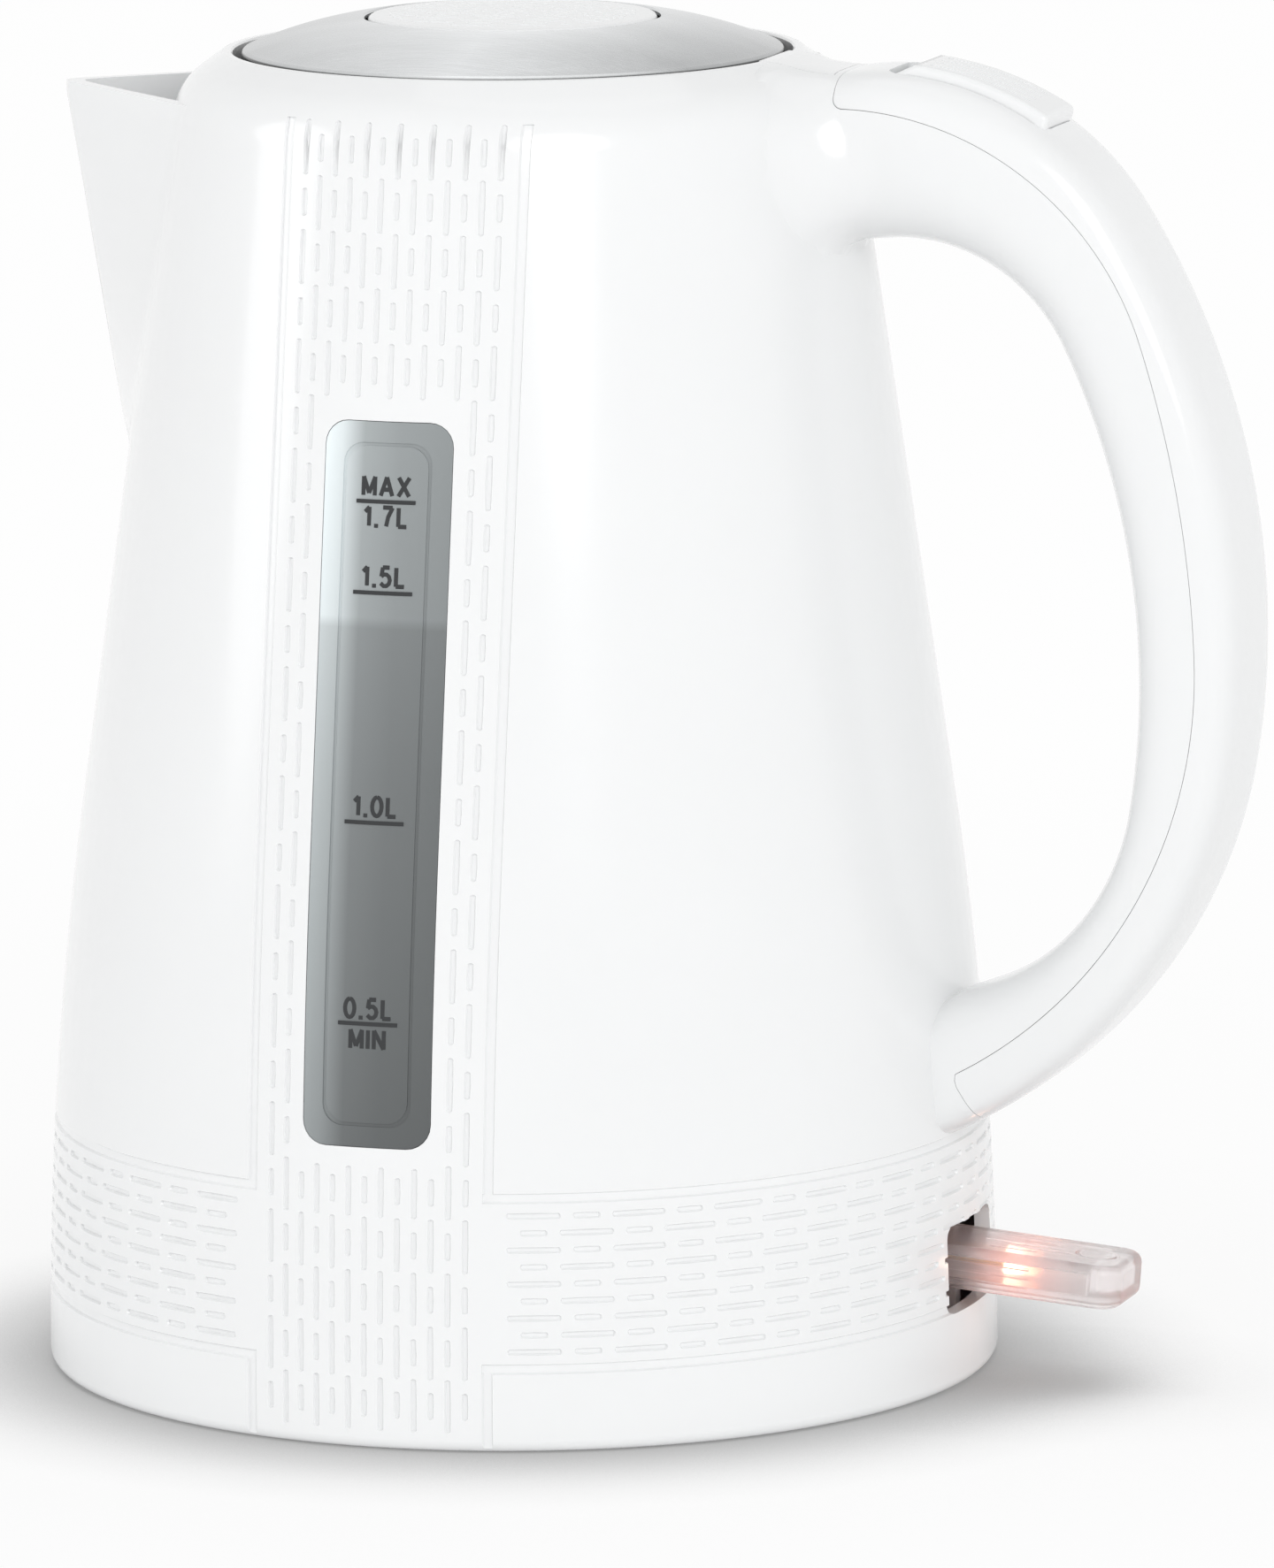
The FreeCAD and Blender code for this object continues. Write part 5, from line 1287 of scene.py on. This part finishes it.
def mark(jug, words, height, size, face):
    """A row of bold signs laid on the pane, wrapped to its curve."""
    thick, between, proud, sunk = 0.19 * size, 0.28 * size, 0.05, 0.06
    tall = size - thick
    spread = [letter_strokes(sign) for sign in words]
    total = sum(width * tall for _, width in spread) + between * (len(words) - 1)
    left, pieces = -total / 2, []
    for strokes, width in spread:
        for points in strokes:
            pieces.append(stroke([(left + x * tall, thick / 2 + y * tall) for x, y in points], thick))
        left += width * tall + between
    row = joined("mark", pieces)
    for vertex in row.data.vertices:
        x, y, out = vertex.co
        vertex.co = on_side(jug, face, -face * x, height + y, out * 2 * proud / thick - sunk)
    return row


def mark_line(jug, window, height, face):
    """A level line laid on the pane."""
    edge, half, proud, sunk, pitch = 0.31, window.line / 2, 0.05, -0.2, 0.6
    section = [(-edge, sunk), (edge, sunk), (edge, proud), (-edge, proud)]
    return groove("mark_line", section, spaced(-half, half, pitch), lambda up, along, out: on_side(
        jug, face, along, height + up, out))


def lever_frame():
    """Place of the lever: its pivot behind the slot, tilted down outwards."""
    return Matrix.Translation(LEVER_PIVOT) @ Matrix.Rotation(sizes("kettle_lever").tilt, 4, "Y")


def lever_slot():
    """The slot in the jug's skirt that the lever comes through."""
    half, low, high, corner, inside, outside = 11.7, 12.7, 27.1, 2, -55, -90
    slot = prism("lever_slot", rounded_rectangle(-half, half, low, high, corner), outside, inside)
    return moved(slot, Matrix.Rotation(math.pi / 2, 4, "Z"))


def lever_outline(lever, inset):
    """The lever from above, (along, across), with round outer corners; an inset one reaches past the tail."""
    past_tail, least_round = (1 if inset else 0), 0.8
    tip, half, tail = lever.length - inset, lever.half - inset, -lever.tail - past_tail
    corner = max(lever.tip - inset, least_round)
    start = (tip - corner, half)
    upper = [start] + arc(start, (tip, half - corner), corner, 6)
    return [(tail, -half), (tail, half)] + upper + [(x, -y) for x, y in reversed(upper)]


def lever_body(lever):
    """The lever's hollow moulding with its trunnions, ribs and thumb ring."""
    inset, room, widen = 5.2, 1.75, 1.9
    axle_radius, axle_long, axle_edge = 2, 23.2, 0.3
    gap, gap_wide = 3, 6.8
    flat = Matrix.Rotation(-math.pi / 2, 4, "X")
    body = moved(prism("lever_body", lever_outline(lever, 0), -lever.thick / 2, lever.thick / 2), flat)
    soften(body, lever.edge, 4)
    hollow = moved(prism("lever_hollow", lever_outline(lever, inset), -room, room), flat)
    carve(body, moved(hollow, Matrix.Diagonal((1, widen, 1, 1))))
    deselect()
    bpy.ops.mesh.primitive_cylinder_add(vertices=40, radius=axle_radius, depth=axle_long,
                                        rotation=(math.pi / 2, 0, 0))
    axle = bpy.context.object
    bpy.ops.object.transform_apply(rotation=True)
    soften(axle, axle_edge, 2)
    carve(body, axle, "UNION")
    corners = [(-gap, -gap_wide), (gap, -gap_wide), (gap, gap_wide), (-gap, gap_wide)]
    carve(body, moved(prism("axle_gap", corners, -room, room), flat))
    for lines in lever_lines(lever):
        carve(body, lines)
    return moved(body, lever_frame())


def lever_lines(lever):
    """Cutters for the lever's fine lines: along its flanks, along its top, and the thumb ring."""
    fine, bold, top, pitch = trough(0.5, 0.28), trough(0.7, 0.3), lever.thick / 2, 2
    flanks = []
    for hand in (-1, 1):
        for height in (-1.5, 0, 1.5):
            flanks.append(groove("flank", fine, spaced(2, 24, pitch), lambda across, along, out: (
                along, hand * (lever.half + out), height + across)))
    between, tops = 2.2, []
    for i, (start, end) in enumerate(((16, 24), (19, 29), (14, 27), (20, 26), (15, 29))):
        y = (i - 2) * between
        tops.append(groove("top", fine, spaced(start, end, pitch), lambda across, along, out: (
            along, y + across, top + out)))
    middle, long, wide, steps = 33, 3.4, 3.0, 40
    ring = groove("ring", bold, [math.tau * i / steps for i in range(steps + 1)], lambda across, at, out: (
        middle + (long + across) * math.cos(at), (wide + across) * math.sin(at), top + out))
    return joined("flanks", flanks), joined("tops", tops), ring


def lamp_bead():
    """The lamp in the lever: a collar, a short barrel and a domed front, along the lever."""
    barrel, collar, dome, along, steps = 1.3, 1.5, 4.8, 17.9, 32
    front = arc((barrel, dome), (0, dome + barrel), -barrel * 1.0001, 8)
    outline = [(0, 0), (collar, 0), (collar, 0.9), (barrel, 1.1), (barrel, dome)] + front
    bead = moved(turned("lamp_bead", outline, steps), Matrix.Rotation(math.pi / 2, 4, "Y"))
    return moved(bead, lever_frame() @ Matrix.Translation((along, 0, 0)))


# Springs and hinge pin


def node_box(node):
    """Lowest and highest corner of a piece of the construction, in millimetres."""
    return [Vector(corner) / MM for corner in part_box(node)]


def leaf(line, thick, low, high):
    """A strip of spring steel along a line seen from the side, from low to high across the handle."""
    edge = 0.12
    return soften(prism("leaf", beside(line, thick / 2) + beside(line, -thick / 2)[::-1], low, high), edge, 2)


def button_leaves():
    """Two leaves beside the latch, each with a foot on the bed and a tip along the button's flange."""
    low, high = node_box("button_spring")
    thick, wide, foot = 0.6, 2.5, low.z + 0.3
    line = [(low.x - 2.4, foot), (low.x + 0.2, foot)]
    line += [(high.x - 1.0, high.z - 0.6), (high.x + 1.8, high.z - 1.4)]
    reaches = (low.y, low.y + wide), (high.y - wide, high.y)
    return joined("button_leaves", [leaf(line, thick, *reach) for reach in reaches])


def latch_leaf():
    """A waved leaf between the latch's end and the end of its bed."""
    low, high = node_box("latch_spring")
    middle, wave, end, runs, thick = (low.z + high.z) / 2, 0.5, 0.2, 3, 0.4
    long = high.x - low.x - 2 * end
    line = [(low.x + end + long * i / runs, middle + wave * (-1) ** i) for i in range(runs + 1)]
    return leaf(line, thick, low.y, high.y)


def hinge_rod(lid):
    """The lid's hinge pin, with its ends in the jug under the neck's skin."""
    low, high = node_box("hinge_pin")
    reach, radius, edge, steps = lid.knuckle_half + 1.4, (high.z - low.z) / 2, 0.3, 48
    upper = [(radius, reach - edge), (radius - edge, reach), (0, reach)]
    rod = turned("hinge_rod", [(away, -height) for away, height in upper[::-1]] + upper, steps)
    return moved(rod, Matrix.Translation((low + high) / 2) @ Matrix.Rotation(math.pi / 2, 4, "X"))


# Studio


def light_path(finish):
    """One where a ray comes from the camera, a reflection or through glass."""
    camera = finish.node("ShaderNodeLightPath", out="Is Camera Ray")
    glossy = finish.node("ShaderNodeLightPath", out="Is Glossy Ray")
    through = finish.node("ShaderNodeLightPath", out="Is Transmission Ray")
    return camera.math("MAXIMUM", glossy.math("MAXIMUM", through))


def make_floor():
    """A wide floor that fades into a white room, keeps the kettle's shadow and has a painted contact shadow
    in its glow.
    """
    wide = 14
    deselect()
    bpy.ops.mesh.primitive_plane_add(size=wide, location=(0, 0, 0))
    floor = bpy.context.object
    floor.name = "studio_floor"
    tint = tuple(bpy.context.scene.kettle_finish.floor)
    finish = Finish("studio_floor")
    speck = finish.grain(60, 2)
    matte = finish.node("ShaderNodeBsdfDiffuse", {}, {"Color": finish.mix(speck, shade_of(tint, 0.99), tint)})
    # Painted contact shadow: the floor's glow is darkened by ambient occlusion where the kettle is close.
    open_sky = finish.node("ShaderNodeAmbientOcclusion", {"samples": 8}, {"Distance": 0.04}, out="AO")
    painted_contact_shadow = finish.ramp(open_sky, (0.3, 0.26), (0.6, 0.46), (0.85, 0.86), (0.96, 1.0))
    glow = finish.node("ShaderNodeEmission", {}, {"Color": painted_contact_shadow, "Strength": 1.0})
    away = finish.node("ShaderNodeVectorMath", {"operation": "LENGTH"}, {0: finish.place()}, out="Value")
    fade = finish.ramp(away, (0.08, 0.8), (0.2, 0.9), (0.6, 0.97))
    shader = finish.node("ShaderNodeMixShader", {}, {0: light_path(finish) * fade, 1: matte, 2: glow})
    finish.node("ShaderNodeOutputMaterial", {}, {"Surface": shader})
    floor.data.materials.append(finish.block)


def make_light():
    """A white room that is dimmer overhead, with large soft lamps to the right, to the left and above."""
    room = Finish("studio_room", "worlds")
    heading = room.node("ShaderNodeTexCoord", out="Generated")
    up = room.node("ShaderNodeSeparateXYZ", {}, {"Vector": heading}, out="Z")
    mirrored = room.ramp(up, (0.0, 1.0), (0.3, 1.0), (0.9, 0.85))
    sky = room.ramp(up, (0.0, 1.0), (0.3, 1.0), (0.9, 0.45))
    seen = room.node("ShaderNodeBackground", {}, {"Color": mirrored, "Strength": 1.0})
    lit = room.node("ShaderNodeBackground", {}, {"Color": sky, "Strength": 0.96})
    both = room.node("ShaderNodeMixShader", {}, {0: light_path(room), 1: lit, 2: seen})
    room.node("ShaderNodeOutputWorld", {}, {"Surface": both})
    bpy.context.scene.world = room.block
    middle = Vector((0, 0, 0.11))
    lamps = (("key", (0.9, -1.3, 0.8), 0.9, 8.0), ("fill", (-1.3, -0.7, 0.6), 0.9, 3.2),
             ("top", (0.1, 0.3, 1.6), 1.2, 1.5))
    for name, place, width, watts in lamps:
        deselect()
        bpy.ops.object.light_add(type="AREA", location=place)
        lamp = bpy.context.object
        lamp.name = name + "_lamp"
        lamp.data.shape = "DISK"
        lamp.data.size = width
        lamp.data.energy = watts
        lamp.rotation_euler = (middle - lamp.location).to_track_quat("-Z", "Y").to_euler()


def make_camera(studio):
    """A long lens at the height and bearing of the view."""
    deselect()
    bpy.ops.object.camera_add()
    camera = bpy.context.object
    camera.name = "studio_camera"
    camera.data.lens = studio.lens
    camera.data.sensor_width = 36
    camera.data.clip_end = 50
    place = Vector((studio.distance * math.sin(studio.bearing), -studio.distance * math.cos(studio.bearing),
                    studio.height)) * MM
    aim = Euler((math.pi / 2 - studio.pitch, 0, studio.bearing - studio.turn)).to_matrix().to_4x4()
    camera.matrix_world = Matrix.Translation(place) @ aim @ Matrix.Rotation(studio.roll, 4, "Z")
    bpy.context.scene.camera = camera


# Operators


class KETTLE_OT_jug(bpy.types.Operator):
    """Mould the jug with its beak, pattern, window openings and handle grip."""

    bl_idname = "kettle.jug"
    bl_label = "Jug and handle grip"

    def execute(self, context):
        jug, pattern, window = jug_form(), sizes("kettle_pattern"), sizes("kettle_window")
        body = jug_shell(jug)
        carve(body, beak_channel(jug))
        carve(body, beak_opening(jug))
        dash = dash_cutter(pattern)
        dashes = upright_dashes(jug, pattern, window, dash) + level_dashes(jug, pattern, dash)
        bpy.data.objects.remove(dash)
        carve(body, joined("dashes", dashes))
        for grooves in frame_grooves(jug, pattern):
            carve(body, grooves)
        carve(body, prism("window_openings", window_outline(window, 0, window.corner), -90, 90))
        carve(body, lever_slot())
        carve(body, handle_grip(jug, sizes("kettle_handle")), "UNION")
        carve(body, hinge_pocket(jug, sizes("kettle_lid")))
        delivered(body, "jug_moulding", "jug", "white_gloss", ("jug_body", "jug_beak", "handle_grip"))
        skin_normals(body, jug)
        return {"FINISHED"}


class KETTLE_OT_cover(bpy.types.Operator):
    """Mould the cover over the outer half of the handle."""

    bl_idname = "kettle.cover"
    bl_label = "Handle cover"

    def execute(self, context):
        handle = sizes("kettle_handle")
        cover = handle_form(handle)
        carve(cover, parting_region(-handle.gap / 2), "INTERSECT")
        carve(cover, handle_bay(handle))
        carve(cover, button_well(handle))
        delivered(cover, "handle_cover_shell", "jug", "white_gloss", ("handle_cover",))
        return {"FINISHED"}


class KETTLE_OT_button(bpy.types.Operator):
    """Mould the lid button with its flange and ramp."""

    bl_idname = "kettle.button"
    bl_label = "Lid button"

    def execute(self, context):
        key = button_key(sizes("kettle_handle"))
        delivered(key, "lid_button_key", "button", "white_gloss", ("lid_button",))
        return {"FINISHED"}


class KETTLE_OT_lid(bpy.types.Operator):
    """Mould the lid's plug, spin its steel cap and mould the disc in the cap's middle."""

    bl_idname = "kettle.lid"
    bl_label = "Lid plug, cap and disc"

    def execute(self, context):
        jug, lid = jug_form(), sizes("kettle_lid")
        plug = lid_plug(jug, lid, sizes("kettle_handle"))
        delivered(plug, "lid_plug_moulding", "lid", "white_gloss", ("lid_shell",))
        cap = turned("lid_cap_sheet", cap_outline(jug, lid))
        delivered(cap, "lid_cap_sheet", "lid", "steel_cap", ("lid_cap",))
        disc = lid_disc(jug, lid, sizes("kettle_pattern"))
        delivered(disc, "lid_disc_badge", "lid", "white_satin", ("lid_disc",))
        return {"FINISHED"}


class KETTLE_OT_springs(bpy.types.Operator):
    """Bend the leaf springs of the button and the latch, and turn the lid's hinge pin."""

    bl_idname = "kettle.springs"
    bl_label = "Springs and hinge pin"

    def execute(self, context):
        delivered(hinge_rod(sizes("kettle_lid")), "hinge_pin_rod", "jug", "steel", ("hinge_pin",))
        leaves = delivered(button_leaves(), "button_spring_leaves", "jug", "steel", ("button_spring",))
        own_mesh(leaves)
        wave = delivered(latch_leaf(), "latch_spring_leaf", "jug", "steel", ("latch_spring",))
        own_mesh(wave)
        return {"FINISHED"}


class KETTLE_OT_windows(bpy.types.Operator):
    """Fit the water windows and print their level marks."""

    bl_idname = "kettle.windows"
    bl_label = "Water windows"

    def execute(self, context):
        jug, window = jug_form(), sizes("kettle_window")
        lines = (151.3, 136.9, 100.6, 68.7)
        words = (("MAX", 151.9), ("1.7L", 147.1), ("1.5L", 137.65), ("1.0L", 101.35), ("0.5L", 69.3),
                 ("MIN", 64.4))
        for face, name in ((FRONT, "front"), (BACK, "back")):
            pane = window_pane(jug, window, face)
            delivered(pane, f"window_pane_{name}", "jug", "window_clear", (f"water_window_{name}",))
            pieces = [mark(jug, text, height, window.letter, face) for text, height in words]
            pieces += [mark_line(jug, window, height, face) for height in lines]
            delivered(joined("marks", pieces), f"level_marks_{name}", "jug", "window_clear", finish="ink")
        return {"FINISHED"}


class KETTLE_OT_lever(bpy.types.Operator):
    """Mould the clear switch lever and the lamp inside it."""

    bl_idname = "kettle.lever"
    bl_label = "Switch lever"

    def execute(self, context):
        lever = lever_body(sizes("kettle_lever"))
        delivered(lever, "switch_lever_clear", "lever", "lever_clear", ("switch_lever",))
        delivered(lamp_bead(), "lamp_bead", "lever", "lamp_red", ("lamp",))
        return {"FINISHED"}


class KETTLE_OT_inner_pieces(bpy.types.Operator):
    """Give every piece of the construction its own finish."""

    bl_idname = "kettle.inner_pieces"
    bl_label = "Inner pieces"

    def execute(self, context):
        for piece in frame["record"]["subparts"]:
            node = frame["nodes"][piece["node"]]
            node.data.materials.clear()
            node.data.materials.append(FINISHES[piece["material_slot"]])
        return {"FINISHED"}


class KETTLE_OT_studio(bpy.types.Operator):
    """Set up the floor, the light and the camera."""

    bl_idname = "kettle.studio"
    bl_label = "Studio"

    def execute(self, context):
        make_floor()
        make_light()
        make_camera(sizes("kettle_studio"))
        context.scene.view_settings.view_transform = "Standard"
        return {"FINISHED"}


class KETTLE_PT_panel(bpy.types.Panel):
    """The kettle's steps in the sidebar."""

    bl_idname = "KETTLE_PT_panel"
    bl_label = "Electric Kettle"
    bl_space_type = "VIEW_3D"
    bl_region_type = "UI"
    bl_category = "Kettle"

    def draw(self, context):
        for step in STEPS:
            self.layout.operator(step.bl_idname)


STEPS = (KETTLE_OT_inner_pieces, KETTLE_OT_jug, KETTLE_OT_cover, KETTLE_OT_button, KETTLE_OT_lid,
         KETTLE_OT_springs, KETTLE_OT_windows, KETTLE_OT_lever, KETTLE_OT_studio)


def register():
    """Registers the groups, the steps and the panel."""
    for name, group in GROUPS.items():
        bpy.utils.register_class(group)
        setattr(bpy.types.Scene, name, bpy.props.PointerProperty(type=group))
    for item in (*STEPS, KETTLE_PT_panel):
        bpy.utils.register_class(item)


def unregister():
    """Removes what register added."""
    for item in (KETTLE_PT_panel, *reversed(STEPS)):
        bpy.utils.unregister_class(item)
    for name, group in GROUPS.items():
        delattr(bpy.types.Scene, name)
        bpy.utils.unregister_class(group)


def main():
    """Builds the kettle step by step."""
    register()
    FINISHES.update(make_finishes())
    for step in STEPS:
        family, name = step.bl_idname.split(".")
        getattr(getattr(bpy.ops, family), name)()


if __name__ == "__main__":
    main()
